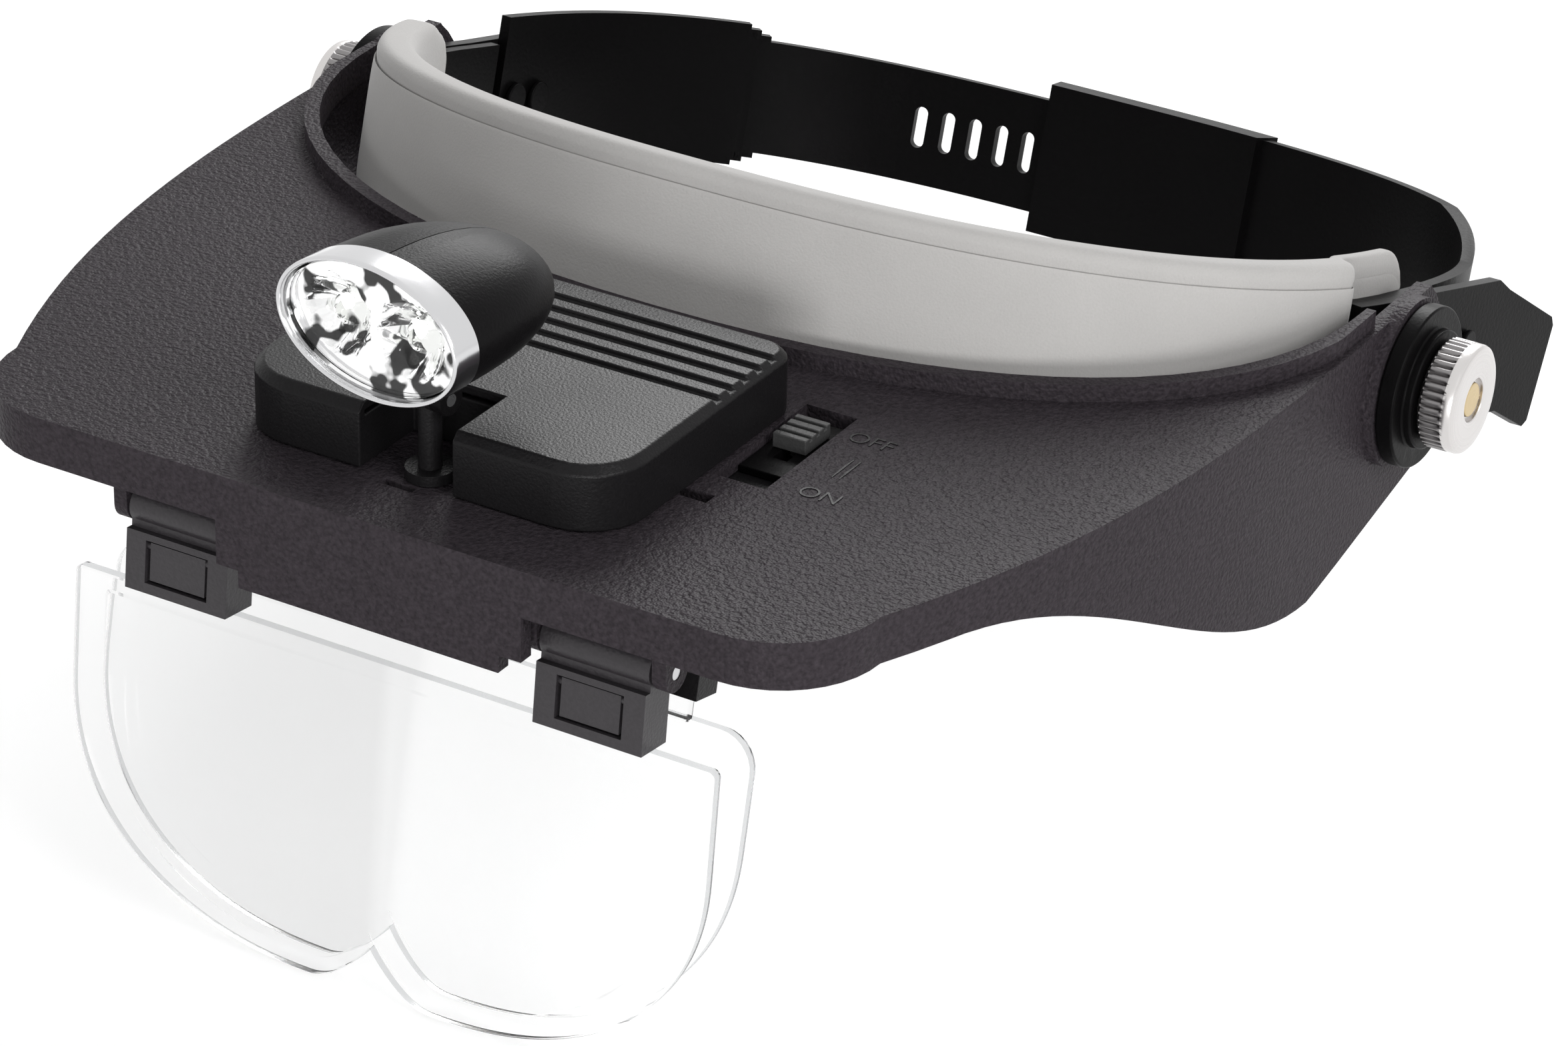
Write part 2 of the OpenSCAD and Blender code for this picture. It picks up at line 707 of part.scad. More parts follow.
module temple_washer(side) {
  color(black_satin) at_pivot(side) translate([0, 0, washer_in]) difference() {
    union() {
      cylinder(r = washer_r, h = washer_rim_t, $fn = smooth);
      cylinder(r = washer_hub_r, h = washer_t, $fn = smooth);
    }
    translate([0, 0, -1]) cylinder(r = screw_r + run_gap, h = washer_t + 2, $fn = smooth);
  }
}

module thumb_nut(side) {
  color(bright_metal) at_pivot(side) translate([0, 0, nut_in]) difference() {
    union() {
      cylinder(r = nut_r - 0.9, h = nut_t, $fn = smooth);
      translate([0, 0, nut_chamfer]) linear_extrude(nut_t - 2 * nut_chamfer)
        polygon([for (i = [0 : 2 * knurl_count - 1])
          (nut_r - (i % 2) * knurl_depth) * [cos(180 * i / knurl_count), sin(180 * i / knurl_count)]]);
    }
    translate([0, 0, -1]) cylinder(r = screw_r + run_gap, h = nut_t + 2, $fn = smooth);
    translate([0, 0, nut_t - nut_recess_d]) cylinder(r = nut_recess_r, h = 2, $fn = smooth);
  }
}

// Lens plates. The lower edge is a rounded lobe for each eye with a notch for the nose
function lens_edge() =
  concat(
    [for (x = [0 : nose_half_w / 6 : nose_half_w - 0.1])
      [x, -lens_h + nose_h * (1 - pow(sin(90 * x / nose_half_w), 0.9))]],
    [for (t = [270 : 6 : 360])
      let (p = oval(lobe_w, lobe_h, 2.2, t))
      [nose_half_w + p[0], lobe_middle_z + p[1]]]);

function top_corner(r) =
  [for (a = [0 : 15 : 90]) [lens_half_w - r + r * cos(a), -r + r * sin(a)]];

module lens_outline(corner) {
  right = concat(lens_edge(), top_corner(corner));
  left = [for (i = [len(right) - 1 : -1 : 1]) [-right[i][0], right[i][1]]];
  polygon(concat(right, left));
}

function dome_point(r) = [r, 0.2 + dome_rise - dome_ball + sqrt(dome_ball * dome_ball - r * r)];

module lens_plate(corner, tongue_x0, tongue_x1, tongue_top_z) {
  rotate([90, 0, 0]) translate([0, 0, -lens_t / 2]) linear_extrude(lens_t) lens_outline(corner);
  both_sides() {
    translate([tongue_x0, -lens_t / 2, -1]) cube([tongue_x1 - tongue_x0, lens_t, tongue_top_z + 1]);
    translate([dome_x, -lens_t / 2 + 0.2, dome_z]) rotate([90, 0, 0]) rotate_extrude($fn = smooth)
      polygon(concat([[0, 0], [dome_r, 0]], [for (i = [0 : 10]) dome_point(dome_r * (1 - i / 10))]));
  }
}

module front_lens_plate() {
  color(clear_plastic) in_front_lens() translate([0, lens_front_y, lens_top]) difference() {
    lens_plate(front_corner, tongue_in, tongue_out, tongue_top - lens_top);
    both_sides() translate([(tab_in + tab_out) / 2, -lens_t, nub_z - lens_top]) rotate([-90, 0, 0])
      cylinder(r = nub_r + 0.5, h = 2 * lens_t, $fn = fine);
  }
}

module rear_lens_plate() {
  color(clear_plastic) in_rear_lens()
    translate([0, rear_axis[0], lens_top])
      lens_plate(rear_corner, rear_clip_in + 2, rear_clip_out - 2,
        -lens_top - hinge_drop - barrel_r - 1);
}

module clip_frame() {
  slot_y = lens_front_y - lens_t / 2 - 0.15;
  difference() {
    union() {
      along_x(front_axis, clip_in, clip_out, barrel_r);
      translate([clip_in, hinge_back - barrel_r + 0.7, clip_top - 1])
        cube([clip_w, 2 * barrel_r - 1.4, -clip_top + 1 - hinge_drop]);
      translate([clip_in, clip_front, clip_bottom]) cube([clip_w, clip_d, clip_h]);
    }
    along_x(front_axis, clip_in - 1, clip_out + 1, pin_r + run_gap);
    translate([tongue_in - 0.2, slot_y, clip_bottom - 1])
      cube([tongue_out - tongue_in + 0.4, lens_t + 0.3, tongue_top + 0.2 - clip_bottom + 1]);
    translate([tab_in - 0.6, clip_front - 1, clip_bottom + 1.5])
      cube([tab_out - tab_in + 1.2, slot_y - clip_front + 1.2, clip_h - 2.5]);
    along_x([tab_axis_y, tab_axis_z], tab_in - 1.4, tab_out + 1.4, tab_pin_r + run_gap);
  }
}

module latch_tab() {
  along_x([tab_axis_y, tab_axis_z], tab_in - 1.3, tab_out + 1.3, tab_pin_r);
  translate([tab_in, tab_axis_y - tab_t / 2, clip_bottom + 1.9])
    cube([tab_out - tab_in, tab_t, tab_axis_z - clip_bottom - 1.9 + 0.7]);
  translate([(tab_in + tab_out) / 2, tab_axis_y, nub_z]) rotate([-90, 0, 0])
    cylinder(r = nub_r, h = lens_front_y - tab_axis_y - 0.2, $fn = fine);
}

module clip_frame_left() {
  color(black_satin) in_front_lens() mirror([1, 0, 0]) clip_frame();
}

module clip_frame_right() {
  color(black_satin) in_front_lens() clip_frame();
}

module latch_tab_left() {
  color(black_satin) in_front_lens() mirror([1, 0, 0]) latch_tab();
}

module latch_tab_right() {
  color(black_satin) in_front_lens() latch_tab();
}

module front_hinge_pins() {
  color(bright_metal) in_visor() both_sides()
    along_x(front_axis, lug_in_low + 0.1, lug_out_high - 0.1, pin_r);
}

module rear_lens_holder() {
  color(black_satin) in_rear_lens() difference() {
    union() {
      along_x(rear_axis, -rear_clip_out, rear_clip_out, rear_bar_r);
      both_sides() translate([rear_clip_in, rear_axis[0] - rear_clip_d / 2, rear_clip_bottom])
        cube([rear_clip_out - rear_clip_in, rear_clip_d, -hinge_drop - rear_clip_bottom]);
    }
    both_sides() {
      translate([rear_clip_in + 1.8, rear_axis[0] - lens_t / 2 - 0.15, rear_clip_bottom - 1])
        cube([rear_clip_out - rear_clip_in - 3.6, lens_t + 0.3,
          -hinge_drop - barrel_r - 0.8 - rear_clip_bottom + 1]);
      along_x(rear_axis, rear_clip_out - 4.2, rear_clip_out + 1, pin_r + run_gap);
    }
  }
}

module rear_hinge_pins() {
  color(bright_metal) in_visor() both_sides()
    along_x(rear_axis, rear_clip_out - 4, rear_lug_high - 0.7, pin_r);
}

// Battery box
function box_corner(cx, cy, r, a0) =
  [for (a = [0 : 15 : 90]) [cx + r * cos(a0 + a), cy + r * sin(a0 + a)]];

module box_plan(inset) {
  w = box_w / 2 - inset;
  y0 = box_front + inset;
  y1 = box_back - inset;
  r = bevel(cover_corner, inset);
  s = bevel(cover_back_corner, inset);
  polygon(concat(box_corner(w - r, y0 + r, r, -90), box_corner(w - s, y1 - s, s, 0),
    box_corner(s - w, y1 - s, s, 90), box_corner(r - w, y0 + r, r, 180)));
}

module battery_cover() {
  edge = 1.2;
  groove_last = box_back - 5.5;
  color(black_satin) in_visor() difference() {
    hull() {
      translate([0, 0, cover_foot]) linear_extrude(box_h - edge - cover_foot) box_plan(0);
      translate([0, 0, box_h - 1]) linear_extrude(1) box_plan(edge);
    }
    difference() {
      translate([0, 0, cover_foot - 1]) linear_extrude(inside_top - cover_foot + 1) box_plan(cover_t);
      translate([notch_x - notch_w / 2 - cover_t, box_front - 1, -2])
        cube([notch_w + 2 * cover_t, notch_l + cover_t + 1, box_h]);
    }
    translate([notch_x - notch_w / 2, box_front - 1, -2]) cube([notch_w, notch_l + 1, box_h + 4]);
    for (i = [0 : groove_count - 1])
      translate([-box_w / 2 - 1, groove_last - i * groove_pitch - groove_w / 2, box_h - groove_d])
        cube([box_w + 2, groove_w, 2]);
  }
}

module battery_tray() {
  color(black_satin) in_visor() difference() {
    union() {
      translate([deck_x[0], deck_y[0], deck_top - deck_t])
        cube([deck_x[1] - deck_x[0], deck_y[1] - deck_y[0], deck_t]);
      translate([-tray_out_x, tray_front, tray_floor - tray_wall])
        cube([2 * tray_out_x, tray_back - tray_front, tray_wall_h - tray_floor + tray_wall]);
    }
    translate([-tray_in_x, tray_front + tray_wall, tray_floor])
      cube([2 * tray_in_x, tray_back - tray_front - 2 * tray_wall, tray_cut_h]);
    translate([window_x[0] + 0.5, switch_y - switch_l / 2 + 0.5, -tray_cut_h / 2])
      cube([window_x[1] - window_x[0] - 1, switch_l - 1, tray_cut_h]);
    for (p = tray_screw_at)
      translate([p[0], p[1], -tray_cut_h / 2])
        cylinder(r = tray_screw_r + run_gap, h = tray_cut_h, $fn = fine);
  }
}

module battery_cells() {
  color(cell_colour) in_visor() for (y = [cell_front_y, cell_back_y]) {
    facing = y == cell_front_y ? 1 : -1;
    along_x([y, cell_z], -cell_l / 2 + (facing > 0 ? 0 : 1), cell_l / 2 - (facing > 0 ? 1 : 0), cell_r);
    along_x([y, cell_z], facing > 0 ? cell_l / 2 - 1 : -cell_l / 2,
      facing > 0 ? cell_l / 2 : 1 - cell_l / 2, cell_tip_r);
  }
}

module contact_springs() {
  color(bright_metal) in_visor() for (s = [-1, 1])
    translate([s * (cell_l / 2 + 0.05), s > 0 ? cell_back_y : cell_front_y, cell_z])
      rotate([0, s * 90, 0]) cylinder(r1 = spring_tip_r, r2 = spring_base_r, h = spring_l, $fn = fine);
}

module contact_plates() {
  inner = tray_in_x - contact_t;
  reach = inner - cell_l / 2 - 0.05;
  color(bright_metal) in_visor() {
    translate([inner + 0.1 - reach, cell_front_y, cell_z]) rotate([0, 90, 0])
      cylinder(r = contact_r, h = reach, $fn = fine);
    translate([-inner - 0.1, cell_back_y, cell_z]) rotate([0, 90, 0])
      cylinder(r = contact_r, h = reach, $fn = fine);
    translate([-inner - contact_t, cell_front_y - spring_off, tray_floor + 0.2])
      cube([contact_t, cell_back_y - cell_front_y + 2 * spring_off, 2 * cell_r - 1]);
    for (y = [cell_front_y, cell_back_y])
      translate([inner, y - spring_off, tray_floor + 0.2]) cube([contact_t, 2 * spring_off, 2 * cell_r - 1]);
  }
}

module tray_screws() {
  color(bright_metal) in_visor() for (p = tray_screw_at) translate([p[0], p[1], deck_top - deck_t]) {
    translate([0, 0, -tray_screw_head_t])
      cylinder(r = tray_screw_head_r, h = tray_screw_head_t, $fn = fine);
    translate([0, 0, -0.2]) cylinder(r = tray_screw_r, h = deck_t + 0.2 + plate_t - 0.7, $fn = fine);
  }
}

module switch_body() {
  x0 = window_x[0] + 0.7;
  w = window_x[1] - window_x[0] - 1.4;
  color(bright_metal) in_visor() difference() {
    union() {
      translate([x0, switch_y - switch_l / 2 + 0.7, switch_bottom])
        cube([w, switch_l - 1.4, switch_top - switch_bottom]);
      translate([x0 - 0.5, switch_y - switch_l / 2, deck_top + 0.05])
        cube([w + 1, switch_l, switch_top - deck_top - 0.05]);
    }
    translate([x0 + w / 2 - 1.1, knob_y - switch_travel - 1.6, switch_top - 2])
      cube([2.2, switch_travel + 3.2, 4]);
  }
}

module switch_knob() {
  middle = (window_x[0] + window_x[1]) / 2;
  color([0.34, 0.34, 0.36]) in_visor() {
    translate([middle - 1, knob_y - 1.3, switch_top - 1.8]) cube([2, 2.6, 2.4]);
    difference() {
      translate([middle - 2.6, knob_y - knob_l / 2, switch_top + 0.1]) cube([5.2, knob_l, 2.2]);
      for (i = [-1, 0, 1])
        translate([middle - 3, knob_y + i * 1.9 - 0.3, switch_top + 1.8]) cube([6, 0.6, 2]);
    }
  }
}

// Lamp post and lamp
module lamp_post() {
  color(black_satin) in_visor() translate([post_x, post_y, 0]) {
    translate([0, 0, -plate_t - 1]) cylinder(r = post_r, h = lamp_pivot_h + plate_t, $fn = fine);
    translate([0, 0, 0.15]) cylinder(r = post_foot_r, h = post_foot_t, $fn = fine);
    translate([0, 0, lamp_pivot_h]) rotate([0, 0, -lamp_yaw]) difference() {
      along_x([0, 0], -knuckle_w / 2, knuckle_w / 2, knuckle_r);
      along_x([0, 0], -knuckle_w, knuckle_w, tilt_pin_r + run_gap);
    }
  }
}

module lamp_post_ring() {
  color(bright_metal) in_visor() translate([post_x, post_y, -plate_t - 0.95]) difference() {
    cylinder(r = 3, h = 0.75, $fn = fine);
    translate([0, 0, -1]) cylinder(r = post_r + run_gap / 2, h = 3, $fn = fine);
  }
}

module lamp_tilt_pin() {
  reach = knuckle_w / 2 + lug_gap + lug_w;
  color(bright_metal) in_lamp() along_x([0, 0], -reach, reach, tilt_pin_r);
}

// Rings of the lamp's bullet shape, from the bezel to the tail
function lamp_scale(u) = pow(1 - pow(u, 2.4), 1 / 1.9);
function lamp_ring(u, inset) =
  let (s = lamp_scale(u), y = bezel_back + (lamp_len - inset) * u - (u == 0 && inset > 0 ? 1 : 0))
  [for (i = [0 : 35])
    [(lamp_half_w - inset) * s * cos(10 * i), y,
      lamp_lift - lamp_drop * u * u + (lamp_half_h - inset) * s * sin(10 * i)]];

module lamp_form(inset) {
  count = len(lamp_steps);
  rings = [for (u = lamp_steps) each lamp_ring(u, inset)];
  tail = [0, bezel_back + lamp_len - inset, lamp_lift - lamp_drop];
  polyhedron(
    points = concat(rings, [tail]),
    faces = concat(
      [[for (i = [35 : -1 : 0]) i]],
      [for (k = [0 : count - 2]) for (i = [0 : 35])
        let (j = (i + 1) % 36) [36 * k + 36 + j, 36 * k + 36 + i, 36 * k + i]],
      [for (k = [0 : count - 2]) for (i = [0 : 35])
        let (j = (i + 1) % 36) [36 * k + j, 36 * k + 36 + j, 36 * k + i]],
      [for (i = [0 : 35]) [36 * (count - 1) + (i + 1) % 36, 36 * count, 36 * (count - 1) + i]]));
}

module lamp_shell(side) {
  seam = 0.05;
  color(black_satin) in_lamp() mirror([side < 0 ? 1 : 0, 0, 0]) difference() {
    union() {
      intersection() {
        difference() {
          lamp_form(0);
          lamp_form(lamp_wall);
        }
        translate([seam, -50, -50]) cube([100, 100, 100]);
      }
      translate([knuckle_w / 2 + lug_gap, 0, 0]) {
        along_x([0, 0], 0, lug_w, knuckle_r);
        translate([0, -knuckle_r, 0]) cube([lug_w, 2 * knuckle_r, lamp_lift - lamp_half_h + 1.2]);
      }
    }
    along_x([0, 0], -20, 20, tilt_pin_r + run_gap);
  }
}

module lamp_oval(a, b) {
  polygon([for (i = [0 : 47]) [a * cos(7.5 * i), b * sin(7.5 * i)]]);
}

module lamp_slab(y0, y1, a, b) {
  translate([0, y1, lamp_lift]) rotate([90, 0, 0]) linear_extrude(y1 - y0) lamp_oval(a, b);
}

module lamp_bezel() {
  color(bright_metal) in_lamp() difference() {
    lamp_slab(bezel_front, bezel_back - 0.05, lamp_half_w + 0.2, lamp_half_h + 0.2);
    lamp_slab(bezel_front - 1, bezel_back + 1, lamp_half_w - lip_w, lamp_half_h - lip_w);
    lamp_slab(bezel_front + lip_d, bezel_back + 1, lamp_half_w - lip_in, lamp_half_h - lip_in);
  }
}

module lamp_window() {
  color(clear_plastic) in_lamp()
    lamp_slab(window_y0, window_y0 + window_t, lamp_half_w - lip_in - 0.1, lamp_half_h - lip_in - 0.1);
}

module lamp_reflector() {
  color(bright_metal) in_lamp() difference() {
    union() {
      lamp_slab(reflector_front, bezel_back - 0.1, lamp_half_w - lip_w - 0.1, lamp_half_h - lip_w - 0.1);
      for (s = [-1, 1])
        translate([s * bulb_x, bezel_back - 0.5, lamp_lift]) rotate([-90, 0, 0])
          cylinder(r1 = bowl_out_r, r2 = bowl_end_r, h = reflector_back - bezel_back + 0.5, $fn = smooth);
    }
    for (s = [-1, 1]) translate([s * bulb_x, reflector_front - 0.1, lamp_lift]) rotate([-90, 0, 0]) {
      cylinder(r1 = bowl_front_r, r2 = bulb_r + 0.5, h = reflector_back - reflector_front - 0.8,
        $fn = smooth);
      cylinder(r = bulb_r + run_gap, h = 30, $fn = fine);
    }
  }
}

module lamp_bulbs() {
  color([0.93, 0.94, 0.90, 0.6]) in_lamp() for (s = [-1, 1])
    translate([s * bulb_x, reflector_back + 0.2, lamp_lift]) rotate([90, 0, 0]) {
      cylinder(r = bulb_r, h = bulb_l, $fn = fine);
      translate([0, 0, bulb_l]) sphere(r = bulb_r, $fn = fine);
    }
}

module lamp_board() {
  color(board_green) in_lamp()
    lamp_slab(reflector_back + 0.25, reflector_back + 1.45, board_a, board_b);
}

visor_shell();
brow_band();
brow_pad();
temple_arm(-1);  // temple_arm_left
temple_arm(1);  // temple_arm_right
strap_slotted();
strap_sleeved();
strap_peg();
arm_rivets();
temple_screw(-1);  // temple_screw_left
temple_screw(1);  // temple_screw_right
temple_washer(-1);  // temple_washer_left
temple_washer(1);  // temple_washer_right
thumb_nut(-1);  // thumb_nut_left
thumb_nut(1);  // thumb_nut_right
front_lens_plate();
clip_frame_left();
clip_frame_right();
latch_tab_left();
latch_tab_right();
front_hinge_pins();
rear_lens_plate();
rear_lens_holder();
rear_hinge_pins();
battery_tray();
battery_cover();
battery_cells();
contact_springs();
contact_plates();
tray_screws();
switch_body();
switch_knob();
lamp_post();
lamp_post_ring();
lamp_tilt_pin();
lamp_shell(-1);  // lamp_shell_left
lamp_shell(1);  // lamp_shell_right
lamp_bezel();
lamp_window();
lamp_reflector();
lamp_bulbs();
lamp_board();
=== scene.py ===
"""Looks of a headband magnifier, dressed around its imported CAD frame.

Everything is in metres in the frame's own axes: X to the right as seen from the front, Y to the
back of the head and Z up. Sizes in the classes below are in millimetres and are turned into
metres where a surface is placed.
"""
import functools
import json
import logging
import math
from collections.abc import Callable
from dataclasses import dataclass
from enum import Enum

import bmesh
import bpy
import numpy as np
from mathutils import Matrix, Vector


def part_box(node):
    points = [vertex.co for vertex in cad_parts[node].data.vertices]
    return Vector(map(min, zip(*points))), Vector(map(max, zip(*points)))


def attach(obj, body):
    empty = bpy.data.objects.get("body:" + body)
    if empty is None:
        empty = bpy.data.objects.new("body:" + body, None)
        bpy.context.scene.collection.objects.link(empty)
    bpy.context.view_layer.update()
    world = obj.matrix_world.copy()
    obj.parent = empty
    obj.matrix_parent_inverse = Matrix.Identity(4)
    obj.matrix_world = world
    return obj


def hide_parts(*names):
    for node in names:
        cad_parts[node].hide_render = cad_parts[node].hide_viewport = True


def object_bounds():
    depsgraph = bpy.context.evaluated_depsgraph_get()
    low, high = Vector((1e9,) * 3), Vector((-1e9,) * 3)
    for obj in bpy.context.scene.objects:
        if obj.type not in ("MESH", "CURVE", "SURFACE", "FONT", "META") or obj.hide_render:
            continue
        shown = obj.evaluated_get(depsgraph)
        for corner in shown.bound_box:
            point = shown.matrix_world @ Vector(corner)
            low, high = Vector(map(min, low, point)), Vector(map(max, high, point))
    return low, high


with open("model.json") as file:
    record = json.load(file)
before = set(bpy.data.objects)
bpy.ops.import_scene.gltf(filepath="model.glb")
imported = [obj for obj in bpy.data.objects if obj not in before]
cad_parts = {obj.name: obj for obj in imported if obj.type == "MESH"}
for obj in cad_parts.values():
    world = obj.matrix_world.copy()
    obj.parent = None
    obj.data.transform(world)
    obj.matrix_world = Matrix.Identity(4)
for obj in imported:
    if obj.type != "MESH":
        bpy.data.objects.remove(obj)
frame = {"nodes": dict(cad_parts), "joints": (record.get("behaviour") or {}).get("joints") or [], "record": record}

log = logging.getLogger("magnifier")
MM = 0.001
CAD_BOX = [list(corner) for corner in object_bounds()]
JOINTS = {joint["name"]: joint for joint in frame["joints"]}
BODY_OF = {
    node: body for body, nodes in frame["record"]["behaviour"]["bodies"].items() for node in nodes
}
WHITE = (1.0, 1.0, 1.0, 1.0)

Colour = tuple[float, float, float]
Place = tuple[float, float, float]
Array = np.ndarray
Number = "Value | float"


class Slot(Enum):
    """The record's material slots."""

    VISOR = "visor_black"
    SATIN = "satin_black"
    STRAP = "strap_black"
    PAD = "pad_grey"
    METAL = "bright_metal"
    CHROME = "chrome"
    BRASS = "brass"
    LENS = "clear_lens"
    BULB = "clear_bulb"
    CELL = "cell"
    BOARD = "board"
    KNOB = "knob_grey"


# Shader graph


def operator(operation: str, reflected: bool = False) -> Callable[["Value", Number], "Value"]:
    """An arithmetic operator of Value, which adds one Math node.

    Args:
        operation: the Math node's operation.
        reflected: True for the form in which the Value stands on the right.

    Returns:
        The operator's method.
    """

    def method(self: "Value", other: Number) -> "Value":
        """The Math node's result."""
        first, second = (other, self) if reflected else (self, other)
        return self.graph.value("ShaderNodeMath", {"operation": operation}, {0: first, 1: second})

    return method


class Value:
    """One output of a shader node, which arithmetic works on by adding Math nodes."""

    def __init__(self, graph: "Graph", socket: bpy.types.NodeSocket) -> None:
        """Keeps the socket and the graph that it belongs to."""
        self.graph = graph
        self.socket = socket

    __add__, __radd__ = operator("ADD"), operator("ADD", reflected=True)
    __sub__, __rsub__ = operator("SUBTRACT"), operator("SUBTRACT", reflected=True)
    __mul__, __rmul__ = operator("MULTIPLY"), operator("MULTIPLY", reflected=True)

    def noise(self, size: float, detail: float = 2.0) -> "Value":
        """Soft noise at this place from 0 to 1, with features about as large as size in metres."""
        values = {"Vector": self, "Scale": 1 / size, "Detail": detail}
        return self.graph.value("ShaderNodeTexNoise", None, values)

    def ramp(self, stops: list[tuple[float, float]]) -> "Value":
        """This value carried through a grey ramp."""
        return self.graph.value("ShaderNodeValToRGB", {"stops": stops}, {"Fac": self})

    def tint(self, colour: Colour) -> "Value":
        """A colour made lighter or darker by this level about 1."""
        values = {"Vector": colour, "Scale": self}
        return self.graph.value("ShaderNodeVectorMath", {"operation": "SCALE"}, values)

    def bump(self, depth: float) -> "Value":
        """A normal from this height between 0 and 1 and the depth in metres that it stands for."""
        values = {"Strength": 1.0, "Distance": depth, "Height": self}
        return self.graph.value("ShaderNodeBump", None, values, "Normal")


class Graph:
    """A node tree that is filled through one method for every kind of node."""

    def __init__(self, tree: bpy.types.NodeTree) -> None:
        """Empties the tree and keeps it."""
        self.tree = tree
        tree.nodes.clear()

    def add(self, kind: str, settings: dict | None = None, values: dict | None = None) -> bpy.types.Node:
        """Adds a node.

        Args:
            kind: the node's type.
            settings: its properties, and a ramp's stops under "stops"; they are set first.
            values: a number, colour or Value for each input socket, by name or index.

        Returns:
            The new node.
        """
        node = self.tree.nodes.new(kind)
        for key, setting in (settings or {}).items():
            if key == "stops":
                self._set_stops(node.color_ramp, setting)
            else:
                setattr(node, key, setting)
        for key, value in (values or {}).items():
            if isinstance(value, Value):
                self.tree.links.new(value.socket, node.inputs[key])
            else:
                node.inputs[key].default_value = value
        return node

    def value(
        self, kind: str, settings: dict | None = None, values: dict | None = None, output: int | str = 0
    ) -> Value:
        """Adds a node and returns one of its outputs."""
        return Value(self, self.add(kind, settings, values).outputs[output])

    @staticmethod
    def _set_stops(ramp: bpy.types.ColorRamp, stops: list[tuple[float, float]]) -> None:
        """Gives a ramp grey stops.

        Args:
            ramp: the ramp.
            stops: a position and a level for each stop.
        """
        while len(ramp.elements) < len(stops):
            ramp.elements.new(1.0)
        for element, (position, level) in zip(ramp.elements, stops):
            element.position = position
            element.color = (level, level, level, 1.0)

    def place(self) -> Value:
        """The point on the surface, in the object's own metres."""
        return self.value("ShaderNodeTexCoord", output="Object")


def new_material(name: str) -> tuple[bpy.types.Material, Graph]:
    """Makes a material with an empty graph.

    Args:
        name: the material's name.

    Returns:
        The material and its graph.
    """
    material = bpy.data.materials.new(name)
    material.use_nodes = True
    return material, Graph(material.node_tree)


# Finishes

NOISE_MEAN = 0.5
# Painted shade across the lens plates for the reflections of the two bowls: darkest on the left bowl beside the
# middle crease, faint on the right.
PAINTED_SHADE_STOPS = [(0.10, 0.35), (0.30, 0.75), (0.495, 1.0), (0.505, 0.1), (0.65, 0.25), (0.9, 0.0)]


@dataclass(frozen=True)
class Finish:
    """A look: constants on the shader's own sockets, and what varies over the surface."""

    name: str
    slot: Slot
    colour: Colour

    @functools.lru_cache(maxsize=None)
    def material(self) -> bpy.types.Material:
        """Makes the finish's material, once.

        Returns:
            The material.
        """
        material, graph = new_material(self.name)
        shader = graph.value("ShaderNodeBsdfPrincipled", None, self.sockets(graph.place()))
        graph.add("ShaderNodeOutputMaterial", None, {"Surface": shader})
        return material

    def sockets(self, point: Value) -> dict[str, Number]:
        """The shader's constants, and its values that vary with the point on the surface."""
        raise NotImplementedError


@dataclass(frozen=True)
class MouldedPlastic(Finish):
    """Moulded plastic with a fine pebbled grain and slightly uneven gloss."""

    roughness: float = 0.45
    specular: float = 0.5
    grain_size: float = 0.00045
    grain_depth: float = 0.00006
    speckle: float = 0.25
    grain_gloss: float = 0.06
    blotch_size: float = 0.02
    blotch: float = 0.12
    blotch_gloss: float = 0.10

    def sockets(self, point: Value) -> dict[str, Number]:
        """Speckled colour and uneven gloss from two noises, and a normal from the finer one.

        Args:
            point: a place on the surface.

        Returns:
            The values by socket.
        """
        height = point.noise(self.grain_size, 1.0)
        grain = height - NOISE_MEAN
        broad = point.noise(self.blotch_size) - NOISE_MEAN
        return {
            "Specular IOR Level": self.specular,
            "Base Color": (1 + grain * self.speckle + broad * self.blotch).tint(self.colour),
            "Roughness": self.roughness + broad * self.blotch_gloss + grain * self.grain_gloss,
            "Normal": height.bump(self.grain_depth),
        }


@dataclass(frozen=True)
class PadFoam(Finish):
    """Soft grey pad: a matt skin with a close nap and faint handling marks."""

    roughness: float = 0.82
    specular: float = 0.25
    sheen: float = 0.25
    sheen_roughness: float = 0.5
    nap_size: float = 0.00035
    nap_share: float = 0.35
    wave_size: float = 0.012
    shade: float = 0.10
    gloss: float = 0.12
    depth: float = 0.0002

    def sockets(self, point: Value) -> dict[str, Number]:
        """Colour, gloss and normal from a fine nap on soft waves.

        Args:
            point: a place on the surface.

        Returns:
            The values by socket.
        """
        nap = point.noise(self.nap_size, 3.0)
        wave = point.noise(self.wave_size)
        level = 1 + (nap - NOISE_MEAN) * self.shade + (wave - NOISE_MEAN) * self.shade
        return {
            "Specular IOR Level": self.specular,
            "Sheen Weight": self.sheen,
            "Sheen Roughness": self.sheen_roughness,
            "Base Color": level.tint(self.colour),
            "Roughness": self.roughness + (wave - NOISE_MEAN) * self.gloss,
            "Normal": (nap * self.nap_share + wave * (1 - self.nap_share)).bump(self.depth),
        }


